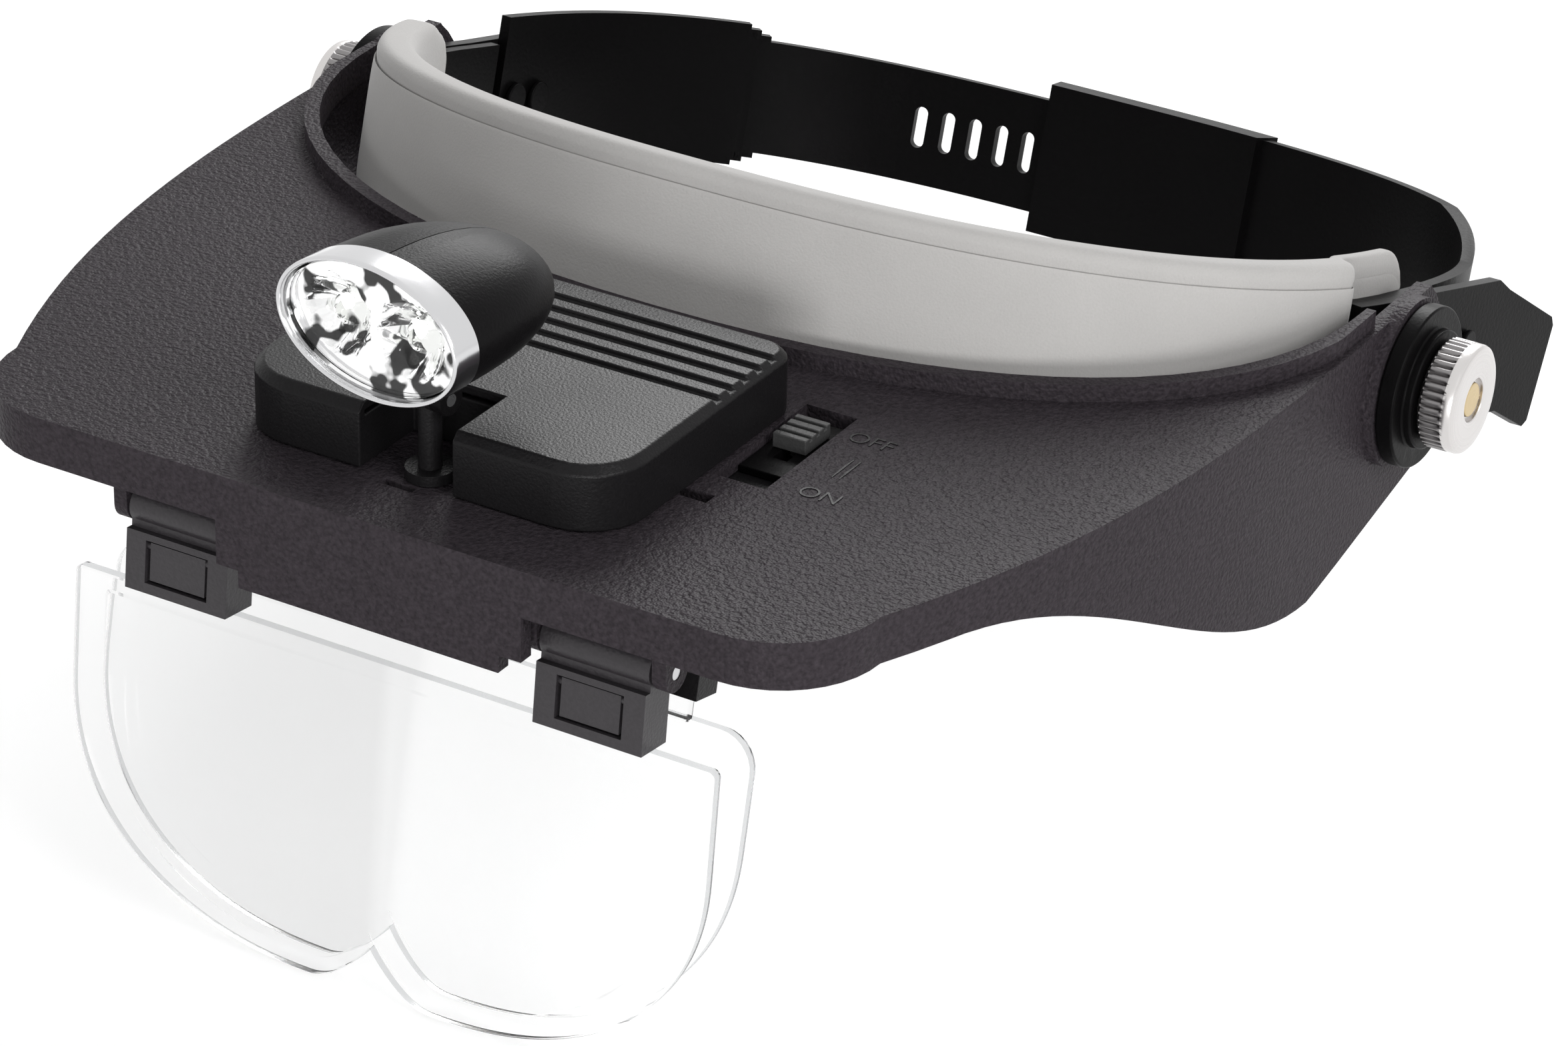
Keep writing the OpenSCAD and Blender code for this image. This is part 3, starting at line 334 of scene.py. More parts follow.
@dataclass(frozen=True)
class TurnedMetal(Finish):
    """Bright turned metal with fine rings about an axis along X."""

    roughness: float = 0.22
    axis: tuple[float, float] = (0.0, 0.0)
    ring: float = 0.00025
    ring_shade: float = 0.14
    ring_depth: float = 0.00001
    mark_size: float = 0.003
    mark_gloss: float = 0.16

    def sockets(self, point: Value) -> dict[str, Number]:
        """Colour and normal from noise of the distance to the axis, and gloss from small marks.

        Args:
            point: a place on the surface.

        Returns:
            The values by socket.
        """
        graph = point.graph
        flat = graph.value(
            "ShaderNodeVectorMath",
            {"operation": "MULTIPLY_ADD"},
            {0: point, 1: (0.0, 1.0, 1.0), 2: (0.0, -self.axis[0], -self.axis[1])},
        )
        radius = graph.value("ShaderNodeVectorMath", {"operation": "LENGTH"}, {0: flat}, "Value")
        rings = graph.value(
            "ShaderNodeTexNoise",
            {"noise_dimensions": "1D"},
            {"W": radius * (1 / self.ring), "Scale": 1.0, "Detail": 2.0},
        )
        marks = point.noise(self.mark_size, 3.0)
        return {
            "Metallic": 1.0,
            "Base Color": ((1 - self.ring_shade / 2) + rings * self.ring_shade).tint(self.colour),
            "Roughness": self.roughness + (marks - NOISE_MEAN) * self.mark_gloss,
            "Normal": rings.bump(self.ring_depth),
        }


@dataclass(frozen=True)
class Chrome(Finish):
    """Bright plating, plain or with the light and dark painted reflections of a small reflector."""

    roughness: float = 0.08
    painted_reflections: float = 0.0
    patch_size: float = 0.0050
    patch_edge: tuple[float, float] = (0.43, 0.47)
    smear_size: float = 0.006
    smear_gloss: float = 0.06
    smear_depth: float = 0.00004

    def sockets(self, point: Value) -> dict[str, Number]:
        """Colour in hard-edged areas of noise as painted reflection, and gloss and normal from soft smears.

        Args:
            point: a place on the surface.

        Returns:
            The values by socket.
        """
        dark, bright = self.patch_edge
        # painted reflection: light and dark areas of noise stand in for what the facetted reflector mirrors
        reflection_mask = point.noise(self.patch_size).ramp([(0.0, 0.0), (dark, 0.0), (bright, 1.0), (1.0, 1.0)])
        smear = point.noise(self.smear_size)
        return {
            "Metallic": 1.0,
            "Base Color": ((1 - self.painted_reflections) + reflection_mask * self.painted_reflections).tint(self.colour),
            "Roughness": self.roughness + smear * self.smear_gloss,
            "Normal": smear.bump(self.smear_depth),
        }


@dataclass(frozen=True)
class ClearPlastic(Finish):
    """Clear polished plastic with faint haze and wiping marks, and painted shade across X for bowl reflections."""

    colour: Colour = (0.998, 0.999, 0.999)
    roughness: float = 0.01
    haze: float = 0.015
    bend: float = 1.18
    painted_bowl_shade: float = 0.0
    painted_shade_span: float = 0.125
    mark_size: float = 0.008
    mark_shade: float = 0.008

    def sockets(self, point: Value) -> dict[str, Number]:
        """Colour from the marks and the painted shade, and gloss from the marks.

        Args:
            point: a place on the surface.

        Returns:
            The values by socket.
        """
        marks = point.noise(self.mark_size, 3.0)
        across = point.graph.value("ShaderNodeSeparateXYZ", None, {0: point}, "X")
        # painted shade standing in for the bowls' reflections, taken off the colour
        shade = (across * (1 / self.painted_shade_span) + 0.5).ramp(PAINTED_SHADE_STOPS)
        level = 1 - marks * self.mark_shade - shade * self.painted_bowl_shade
        return {
            "Transmission Weight": 1.0,
            "IOR": self.bend,
            "Base Color": level.tint(self.colour),
            "Roughness": self.roughness + marks * self.haze,
        }


PIVOT = JOINTS["visor_tilt"]["pos_m"]
PIVOT_YZ = (PIVOT[1], PIVOT[2])
VISOR_TOP = MouldedPlastic(
    "visor_grain", Slot.VISOR, (0.033, 0.0278, 0.0322), 0.45, 0.052, 0.0006, 0.00026, 1.2
)
SATIN = MouldedPlastic(
    "satin_black", Slot.SATIN, (0.0085, 0.0080, 0.0086), 0.36, 0.12, 0.0004, 0.00005, 0.5
)
SHELL = MouldedPlastic(
    "lamp_black", Slot.SATIN, (0.005, 0.0046, 0.005), 0.38, 0.055, 0.0004, 0.00004, 0.5
)
CLIP = MouldedPlastic("clip_black", Slot.SATIN, (0.030, 0.027, 0.030), 0.38, 0.35, 0.0005, 0.00006, 0.5)
STRAP = MouldedPlastic(
    "strap_black", Slot.STRAP, (0.003, 0.0028, 0.003), 0.38, 0.045, 0.0006, 0.00003, 0.3
)
KNOB = MouldedPlastic("knob_grey", Slot.KNOB, (0.045, 0.045, 0.045), 0.45, 0.25)
CELL = MouldedPlastic("cell_wrap", Slot.CELL, (0.12, 0.16, 0.22), 0.35)
BOARD = MouldedPlastic("board_green", Slot.BOARD, (0.02, 0.09, 0.045), 0.4)
PAD = PadFoam("pad_foam", Slot.PAD, (0.44, 0.43, 0.42))
NUT = TurnedMetal("nut_metal", Slot.METAL, (0.66, 0.64, 0.63), 0.26, PIVOT_YZ)
# The knurled band is a darker copy of the nut's metal: painted shade between the knurls.
SHADED_KNURL = TurnedMetal("knurl_metal", Slot.METAL, (0.26, 0.25, 0.25), 0.32, PIVOT_YZ)
PLAIN_METAL = TurnedMetal("plain_metal", Slot.METAL, (0.62, 0.62, 0.63), 0.30)
BRASS = TurnedMetal("brass", Slot.BRASS, (0.60, 0.47, 0.26), 0.30, PIVOT_YZ)
BEZEL = Chrome("bezel_chrome", Slot.CHROME, (0.66, 0.66, 0.67), 0.14)
# The reflector's colour carries painted reflections in light and dark areas.
REFLECTOR = Chrome("reflector_chrome", Slot.CHROME, (0.98, 0.98, 0.98), 0.04, 0.96)
# The lens plates carry painted shade across X for the reflections of their bowls.
LENS = ClearPlastic("lens_clear", Slot.LENS, painted_bowl_shade=0.085)
WINDOW = ClearPlastic("lamp_window_clear", Slot.LENS)
# The plates' rims get a grey copy of the clear plastic: painted shade for the darker edges that clear plastic
# shows by refraction.
SHADED_LENS_EDGE = ClearPlastic("lens_edge", Slot.LENS, (0.56, 0.57, 0.58), 0.22, 0.02, 1.10)
BULB = ClearPlastic("bulb_clear", Slot.BULB, (0.96, 0.97, 0.95))


# Surfaces worked out on grids


def grid(*columns: Array | float) -> Array:
    """Points from their coordinates, which are spread to one shape."""
    return np.stack(np.broadcast_arrays(*columns), axis=-1)


def oval(t: Array, a: float, b: float, power: float) -> Array:
    """Points of a squared oval: a and b times the cosine and sine of t, each to the power 2/power."""
    c, s = np.cos(t), np.sin(t)
    return grid(a * np.sign(c) * np.abs(c) ** (2 / power), b * np.sign(s) * np.abs(s) ** (2 / power))


def circle(count: int) -> Array:
    """Evenly spaced angles once round, in radians."""
    return np.linspace(0, 2 * math.pi, count, endpoint=False)


def run_along(points: Array) -> Array:
    """The length of a line of points up to each of them."""
    return np.concatenate([[0.0], np.cumsum(np.linalg.norm(np.diff(points, axis=0), axis=1))])


def smoothstep(x: Array) -> Array:
    """Rises from 0 to 1 as x does, level at both ends."""
    x = np.clip(x, 0.0, 1.0)
    return x * x * (3 - 2 * x)


def read(items: bpy.types.bpy_prop_collection, name: str, width: int = 1, kind: type = float) -> Array:
    """Reads one property of all the items of a mesh.

    Args:
        items: the mesh's vertices, edges, loops or faces.
        name: the property.
        width: how many numbers it has.
        kind: their type.

    Returns:
        A number for each item, or a row of them.
    """
    values = np.zeros(len(items) * width, kind)
    items.foreach_get(name, values)
    return values.reshape(-1, width) if width > 1 else values


def linked(name: str, data: bpy.types.ID) -> bpy.types.Object:
    """Puts a new object in the scene.

    Args:
        name: the object's name.
        data: what it shows.

    Returns:
        The object.
    """
    item = bpy.data.objects.new(name, data)
    bpy.context.scene.collection.objects.link(item)
    return item


@dataclass
class Surface:
    """A closed surface as points and faces, which joins with others."""

    points: Array
    faces: list[list[int]]
    zones: list[int]

    @classmethod
    def loft(cls, rings: Array, ring_closed: bool = False) -> "Surface":
        """Skins rings of points, each closed round, and turns the skin outwards.

        Args:
            rings: an array of rings by points by three coordinates.
            ring_closed: True if the last ring joins the first; otherwise each end closes in a pole.

        Returns:
            The surface, with each quad between ring i and i + 1 in zone i.
        """
        count, around = rings.shape[:2]
        points = rings.reshape(-1, 3)
        i, j = np.meshgrid(np.arange(count if ring_closed else count - 1), np.arange(around), indexing="ij")
        after, beside = (i + 1) % count, (j + 1) % around
        here, there = i * around, after * around
        faces = grid(here + j, here + beside, there + beside, there + j).reshape(-1, 4).tolist()
        zones = i.reshape(-1).tolist()
        if not ring_closed:
            points = np.concatenate([points, [rings[0].mean(0), rings[-1].mean(0)]])
            first, last = np.arange(around), np.arange(around) + (count - 1) * around
            faces += grid(np.roll(first, -1), first, count * around).tolist()
            faces += grid(last, np.roll(last, -1), count * around + 1).tolist()
            zones += [0] * around + [count - 2] * around
        return cls(points, faces, zones).outwards()

    def outwards(self) -> "Surface":
        """Turns every face round if the enclosed volume comes out negative.

        Returns:
            The same surface.
        """
        corners = np.array([[f[0], f[1], f[2], f[0], f[2], f[-1]] for f in self.faces])
        a, b, c = (self.points[corners[:, [k, k + 3]]] for k in range(3))
        if np.einsum("nij,nij->", a, np.cross(b, c)) < 0:
            self.faces = [face[::-1] for face in self.faces]
        return self

    def __add__(self, other: "Surface") -> "Surface":
        """Both surfaces as one."""
        moved = [[index + len(self.points) for index in face] for face in other.faces]
        return Surface(
            np.concatenate([self.points, other.points]), self.faces + moved, self.zones + other.zones
        )

    def piece(self, name: str, sharp: float = 35.0) -> bpy.types.Object:
        """Makes the surface an object at the origin, smooth but for its sharp edges.

        Args:
            name: the object's name.
            sharp: the angle in degrees past which an edge stays sharp.

        Returns:
            The new object.
        """
        mesh = bpy.data.meshes.new(name)
        mesh.from_pydata(self.points.tolist(), [], self.faces)
        mesh.shade_smooth()
        mesh.set_sharp_from_angle(angle=math.radians(sharp))
        return linked(name, mesh)


def coat(item: bpy.types.Object, look: Finish) -> None:
    """Gives a piece one finish.

    Args:
        item: the piece.
        look: the finish.
    """
    item.data.materials.clear()
    item.data.materials.append(look.material())
    log.info("%s: %d faces in %s", item.name, len(item.data.polygons), look.name)


def finish_piece(
    item: bpy.types.Object, look: Finish, node: str, stands_for: bool = True
) -> bpy.types.Object:
    """Dresses a piece, and lets it ride with a CAD node.

    Args:
        item: the piece.
        look: its finish.
        node: the CAD node that it goes with.
        stands_for: False for a piece that lies on the node and doesn't replace it.

    Returns:
        The piece.
    """
    coat(item, look)
    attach(item, BODY_OF[node])
    if stands_for:
        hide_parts(node)
    return item


def add_look(item: bpy.types.Object, look: Finish, flags: Array) -> None:
    """Gives the faces of a piece a second finish where the flags are True."""
    item.data.materials.append(look.material())
    item.data.polygons.foreach_set("material_index", flags.astype(np.int32))


def dress_nodes(look: Finish, *nodes: str) -> None:
    """Gives CAD nodes that keep their shape a finish."""
    for node in nodes:
        coat(frame["nodes"][node], look)


def edge_angles(mesh: bpy.types.Mesh) -> Array:
    """The angle across each edge, worked out from the normals of its two faces.

    Args:
        mesh: the mesh.

    Returns:
        An angle in radians for each edge.
    """
    edge_of = read(mesh.loops, "edge_index", 1, np.int64)
    normals = read(mesh.polygons, "normal", 3)
    face_of = np.repeat(np.arange(len(normals)), read(mesh.polygons, "loop_total", 1, np.int64))
    order = np.argsort(edge_of, kind="stable")
    edges, faces = edge_of[order], face_of[order]
    pairs = np.flatnonzero(edges[1:] == edges[:-1])
    angle = np.zeros(len(mesh.edges))
    cosine = (normals[faces[pairs]] * normals[faces[pairs + 1]]).sum(1)
    angle[edges[pairs]] = np.arccos(np.clip(cosine, -1, 1))
    return angle


@dataclass(frozen=True)
class Moulding:
    """A copy of a CAD node with its edges rounded as a mould leaves them."""

    node: str
    look: Finish
    radius: float = 0.3
    steps: int = 2
    ridge: float = 0.0
    sharp: float = math.radians(25)
    steep: float = math.radians(60)
    flat: float = math.radians(0.4)
    merge_dist: float = 0.002
    level_slack: float = 0.01
    side_slack: float = 0.2

    def build(self) -> bpy.types.Object:
        """Copies the node, merges its triangles and rounds its edges.

        Returns:
            The new piece.
        """
        mesh = frame["nodes"][self.node].data.copy()
        mesh.name = self.node + "_moulded"
        self._merge(mesh)
        angle = edge_angles(mesh)
        widest = max(self.radius, self.ridge)
        weight = np.where(angle > self.sharp, self.radius / widest if widest else 0.0, 0.0)
        if self.ridge:
            weight[self._ridge_edges(mesh, angle)] = 1.0
        attribute = mesh.attributes.new("bevel_weight_edge", "FLOAT", "EDGE")
        attribute.data.foreach_set("value", weight.astype(np.float32))
        mesh.shade_smooth()
        mesh.set_sharp_from_angle(angle=self.sharp)
        item = linked(mesh.name, mesh)
        if self.radius:
            edges = item.modifiers.new("rounded_edges", "BEVEL")
            edges.limit_method = "WEIGHT"
            edges.width = widest * MM
            edges.segments = self.steps
            edges.use_clamp_overlap = True
            edges.harden_normals = True
        return finish_piece(item, self.look, self.node)

    def _merge(self, mesh: bpy.types.Mesh) -> None:
        """Joins the loose triangles and clears the lines across flat faces.

        Args:
            mesh: the copy of the node's mesh, which is changed.
        """
        work = bmesh.new()
        work.from_mesh(mesh)
        bmesh.ops.remove_doubles(work, verts=work.verts, dist=self.merge_dist * MM)
        bmesh.ops.dissolve_limit(
            work, angle_limit=self.flat, verts=work.verts, edges=work.edges, use_dissolve_boundaries=False
        )
        work.to_mesh(mesh)
        work.free()

    def _ridge_edges(self, mesh: bpy.types.Mesh, angle: Array) -> Array:
        """Picks the edges round the outside of the visor's top, which get the larger radius.

        Args:
            mesh: the merged mesh.
            angle: the angle across each edge.

        Returns:
            True for each edge that is picked.
        """
        pairs = read(mesh.edges, "vertices", 2, np.int64)
        x, y, z = np.moveaxis(read(mesh.vertices, "co", 3)[pairs] / MM, -1, 0)
        level = np.abs(z - VISOR_Z) < self.level_slack
        outside = np.abs(x) > Visor.outline_half_w(y - VISOR_Y) - self.side_slack
        front = y < VISOR_Y + self.side_slack
        return (angle > self.steep) & (level & (outside | front)).all(axis=1)


# Frames of the visor and the lamp, taken from the joints

POST_Y = 15.0
_, VISOR_Y, VISOR_Z = np.array(JOINTS["lamp_swivel"]["pos_m"]) / MM - (0.0, POST_Y, 0.0)


def in_visor(points: Array) -> Array:
    """Millimetres from the middle of the visor's front edge, as metres in the frame."""
    return (points + np.array([0.0, VISOR_Y, VISOR_Z])) * MM


def leaned(points: Array, lean: float, hinge: tuple[float, float]) -> Array:
    """Points turned about a line along X, so that what hangs under it comes forwards.

    Args:
        points: the points, in any unit.
        lean: the turn in degrees.
        hinge: Y and Z of the line.

    Returns:
        The turned points.
    """
    c, s = math.cos(math.radians(lean)), math.sin(math.radians(lean))
    turn = np.array([[1, 0, 0], [0, c, s], [0, -s, c]])
    centre = np.array([0.0, *hinge])
    return (points - centre) @ turn.T + centre


def in_lamp(points: Array) -> Array:
    """Turns points by the lamp's yaw and places them in the frame.

    Args:
        points: millimetres from the lamp's tilt axis.

    Returns:
        Metres in the frame.
    """
    joint = JOINTS["lamp_tilt"]
    ax, ay, _ = joint["axis"]
    turn = np.array([[ax, -ay, 0.0], [ay, ax, 0.0], [0.0, 0.0, 1.0]])
    return points @ turn.T * MM + np.array(joint["pos_m"])


# Studio


@dataclass(frozen=True)
class Softbox:
    """A soft square lamp that faces a target."""

    name: str
    place: Place
    target: Place
    size: float
    power: float

    def build(self) -> None:
        """Adds the lamp to the scene."""
        data = bpy.data.lights.new(self.name, "AREA")
        data.shape = "SQUARE"
        data.size = self.size
        data.energy = self.power
        lamp = linked(self.name, data)
        turn = (Vector(self.target) - Vector(self.place)).to_track_quat("-Z", "Y").to_matrix().to_4x4()
        lamp.matrix_world = Matrix.Translation(self.place) @ turn


SOFTBOXES = (
    Softbox("key", (0.95, -0.40, 0.70), (0.0, -0.04, 0.0), 0.55, 6.5),
    Softbox("back", (-0.25, 0.75, 0.50), (0.03, -0.06, 0.0), 0.5, 7.0),
    Softbox("front", (0.45, -0.95, -0.02), (0.0, -0.12, -0.03), 0.5, 8.0),
)


@dataclass
class Studio:
    """Pale floor, even white light and the camera at the photograph's angle."""

    azimuth: float = 30.15
    elevation: float = 28.4
    roll: float = 1.5
    place: Place = (0.3472, -0.6334, 0.3367)
    sensor: float = 36.0
    focal_px: float = 7935.0
    photo_px: float = 2350.0
    near: float = 0.01
    sky: float = 0.42
    floor_half: float = 4.0
    floor_gap: float = 0.0005
    floor_grey: float = 0.93
    glow: float = 1.25
    glow_share: float = 0.6

    def camera(self) -> None:
        """Makes the camera and makes it the scene's."""
        a, e, r = (math.radians(v) for v in (self.azimuth, self.elevation, self.roll))
        back = Vector((math.sin(a) * math.cos(e), -math.cos(a) * math.cos(e), math.sin(e)))
        right = Vector((math.cos(a), math.sin(a), 0.0))
        up = back.cross(right)
        across = right * math.cos(r) + up * math.sin(r)
        above = up * math.cos(r) - right * math.sin(r)
        data = bpy.data.cameras.new("camera")
        data.lens = self.focal_px / self.photo_px * self.sensor
        data.sensor_width = self.sensor
        data.clip_start = self.near
        camera = linked("camera", data)
        turn = Matrix((across, above, back)).transposed().to_4x4()
        camera.matrix_world = Matrix.Translation(self.place) @ turn
        bpy.context.scene.camera = camera

    @staticmethod
    def blend(graph: Graph, factor: Value, first: Value, second: Value, output: str) -> None:
        """Mixes two shaders by a factor into the tree's output node."""
        choice = graph.value("ShaderNodeMixShader", None, {0: factor, 1: first, 2: second})
        graph.add(output, None, {"Surface": choice})

    @staticmethod
    def seen(graph: Graph) -> Value:
        """Tells what is seen from what gives light.

        Args:
            graph: the tree that asks.

        Returns:
            1 for rays from the camera, from gloss and through clear plastic, 0 for light.
        """
        path = graph.add("ShaderNodeLightPath")
        camera, gloss, clear = (
            Value(graph, path.outputs[f"Is {kind} Ray"]) for kind in ("Camera", "Glossy", "Transmission")
        )
        settings = {"operation": "ADD", "use_clamp": True}
        return graph.value("ShaderNodeMath", settings, {0: camera + gloss, 1: clear})

    def world(self) -> None:
        """Lights the scene evenly, and shows white to the camera, gloss and clear plastic."""
        world = bpy.data.worlds.new("studio")
        bpy.context.scene.world = world
        world.use_nodes = True
        graph = Graph(world.node_tree)
        light = graph.value("ShaderNodeBackground", None, {"Color": WHITE, "Strength": self.sky})
        shown = graph.value("ShaderNodeBackground", None, {"Color": WHITE, "Strength": 1.0})
        self.blend(graph, self.seen(graph), light, shown, "ShaderNodeOutputWorld")

    def floor(self) -> None:
        """Lays the floor under the lowest point of the object."""
        low, half = CAD_BOX[0][2] - self.floor_gap, self.floor_half
        corners = [(-half, -half, low), (half, -half, low), (half, half, low), (-half, half, low)]
        mesh = bpy.data.meshes.new("floor")
        mesh.from_pydata(corners, [], [(0, 1, 2, 3)])
        material, graph = new_material("floor_white")
        grey = (self.floor_grey, self.floor_grey, self.floor_grey, 1.0)
        paint = graph.value("ShaderNodeBsdfDiffuse", None, {"Color": grey})
        glow = graph.value("ShaderNodeEmission", None, {"Color": WHITE, "Strength": self.glow})
        self.blend(graph, self.seen(graph) * self.glow_share, paint, glow, "ShaderNodeOutputMaterial")
        mesh.materials.append(material)
        linked("floor", mesh)

    def build(self) -> None:
        """Sets up the camera, the light and the floor."""
        bpy.context.scene.view_settings.view_transform = "Standard"
        self.camera()
        self.world()
        self.floor()
        for softbox in SOFTBOXES:
            softbox.build()


# Sub-assemblies


@dataclass
class Headband:
    """Straps, brow band, temple arms and the pad, on a squared oval that slopes to the back."""

    half_w: float = 78.6
    half_l: float = 67.8
    power: float = 2.43
    slope: float = 16.0
    pad_in: float = -3.0
    pad_out: float = 3.6
    pad_skin: float = -0.2
    pad_low: float = -11.75
    pad_high: float = 13.55
    pad_left_y: float = -17.2
    pad_right_y: float = 2.0
    pad_step_y: float = -19.0
    pad_step_run: float = 1.6
    pad_corner: float = 7.0
    pad_end_gap: float = 0.4
    pad_squareness: float = 5.0
    pad_fill: float = 0.7
    seam_at: float = 0.62
    seam_width: float = 0.07
    seam_depth: float = 0.13
    rings: int = 260
    around: int = 120
    fine_steps: int = 4000

    def along(self, start: float, end: float, count: int) -> tuple[Array, Array]:
        """Evenly spaced points and outward normals of the band's oval.

        Args:
            start: first angle in radians.
            end: last angle in radians.
            count: number of points.

        Returns:
            The points and the normals, each with two columns.
        """
        fine = oval(np.linspace(start, end, self.fine_steps), self.half_w, self.half_l, self.power)
        run = run_along(fine)
        even = np.linspace(0.0, run[-1], count)
        points = grid(*(np.interp(even, run, column) for column in fine.T))
        tangent = np.gradient(points, axis=0)
        tangent /= np.linalg.norm(tangent, axis=1, keepdims=True)
        return points, grid(tangent[:, 1], -tangent[:, 0])

    def placed(self, points: Array) -> Array:
        """Millimetres in the band's own plane, sloped and as metres in the frame."""
        return leaned(points, self.slope, (0.0, 0.0)) * MM

    def pad(self) -> Surface:
        """The pad: a squared oval section carried round the front of the band.

        The section runs from the skin against the forehead to the outer skin, and a seam is
        pressed in beside each outer edge as a bell curve of the section's angle. Ahead of the
        arms it wraps the brow band, and behind them only its inner layer goes on. Its height
        falls off on a quarter circle at each end.

        Returns:
            The closed pad.
        """
        left, right = (
            math.copysign(math.asin((abs(y) / self.half_l) ** (self.power / 2)), y)
            for y in (self.pad_left_y, self.pad_right_y)
        )
        points, normals = self.along(math.pi - left, 2 * math.pi + right, self.rings)
        run = run_along(points)
        from_end = np.minimum(run, run[-1] - run)
        wrap = smoothstep((self.pad_step_y - points[:, 1]) / self.pad_step_run + 0.5)
        outer = self.pad_skin + (self.pad_out - self.pad_skin) * wrap
        short = np.maximum(self.pad_corner - from_end - self.pad_end_gap, 0.0)
        drop = self.pad_corner - np.sqrt(np.maximum(self.pad_corner**2 - short**2, 0.0))
        high, low = self.pad_high - drop, self.pad_low + drop
        turn = circle(self.around)
        section = oval(turn, 1.0, 1.0, self.pad_squareness)
        for at in (self.seam_at, 2 * math.pi - self.seam_at):
            section *= 1 - self.seam_depth * np.exp(-(((turn - at) / self.seam_width) ** 2))[:, None]
        across = ((outer + self.pad_in) / 2)[:, None] + ((outer - self.pad_in) / 2)[:, None] * section[:, 0]
        height = ((high + low) / 2)[:, None] + ((high - low) / 2)[:, None] * section[:, 1]
        flat = points[:, None, :] + normals[:, None, :] * across[:, :, None]
        rings = np.concatenate([flat, height[:, :, None]], axis=-1)
        return Surface.loft(self.placed(rings))

    def build(self) -> None:
        """Makes the pad, and dresses the straps, arms, peg and rivets."""
        pad = finish_piece(self.pad().piece("brow_pad_foam", sharp=60), PAD, "brow_pad")
        for node in ("brow_band", "temple_arm_left", "temple_arm_right", "strap_slotted", "strap_sleeved"):
            Moulding(node, STRAP, 0.4, 3).build()
        for node in ("strap_peg", "arm_rivets"):
            Moulding(node, STRAP, 0.25).build()


@dataclass
class TemplePivots:
    """Washers, screws and the knurled thumb nuts."""

    radius: float = 8.0
    thickness: float = 5.6
    bore: float = 2.55
    recess_r: float = 3.2
    recess_d: float = 0.7
    knurls: int = 40
    knurl_steps: int = 8
    knurl_depth: float = 0.5
    knurl_power: float = 0.7
    knurl_zones: tuple[int, int] = (3, 8)

    def nut(self, side: int) -> Surface:
        """A thumb nut: a profile carried round the pivot, cut by a rounded wave for the knurls.

        The profile's columns are the reach from the axis, the height from the nut's inner face
        and the share of the knurls' depth that is cut there.

        Args:
            side: -1 for the left temple and 1 for the right.

        Returns:
            The closed ring.
        """
        r, t, recess, floor = self.radius, self.thickness, self.recess_r, self.thickness - self.recess_d
        profile = np.array(
            [
                (self.bore, 0.0, 0), (r - 1.5, 0.0, 0), (r - 0.9, 0.1, 0), (r - 0.25, 0.55, 0.1),
                (r, 0.8, 1), (r, 1.6, 1), (r, 2.6, 1), (r, 3.4, 1), (r, 3.7, 0.6), (r - 0.05, 3.9, 0),
                (r - 0.05, 4.3, 0), (r - 0.05, t - 0.75, 0), (r - 0.2, t - 0.35, 0),
                (r - 0.55, t - 0.1, 0), (r - 1.0, t, 0), (r - 2.2, t, 0), (recess + 0.5, t, 0),
                (recess + 0.12, t - 0.04, 0), (recess, t - 0.16, 0), (recess, floor, 0),
                (self.bore, floor, 0),
            ]
        )
        angle = circle(self.knurls * self.knurl_steps)
        wave = np.abs(np.sin(self.knurls * angle / 2)) ** self.knurl_power
        reach = profile[:, 0, None] - profile[:, 2, None] * self.knurl_depth * (1 - wave)
        _, y, z = np.array(PIVOT) / MM
        x = side * (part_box("thumb_nut_right")[0].x / MM + profile[:, 1, None])
        rings = grid(x, y + reach * np.cos(angle), z + reach * np.sin(angle))
        return Surface.loft(rings * MM, ring_closed=True)

    def build(self) -> None:
        """Makes the nuts, with painted shade on the knurled band, and dresses the screws and washers."""
        first, last = self.knurl_zones
        for side, name in ((-1, "left"), (1, "right")):
            ring = self.nut(side)
            item = finish_piece(ring.piece(f"thumb_nut_{name}_knurled", sharp=32), NUT, f"thumb_nut_{name}")
            zone = np.array(ring.zones)
            # painted shade: the knurled zones get the darker metal
            add_look(item, SHADED_KNURL, (zone >= first) & (zone <= last))
            Moulding(f"temple_screw_{name}", BRASS, 0.2).build()
            Moulding(f"temple_washer_{name}", STRAP, 0.35, 3).build()


@dataclass(frozen=True)
class Plate:
    """One lens plate: places back from the visor's front edge, tongues out from its middle."""

    name: str
    y: float
    corner: float
    tongue_in: float
    tongue_out: float
    tongue_top: float
    lean: float
    hinge_y: float


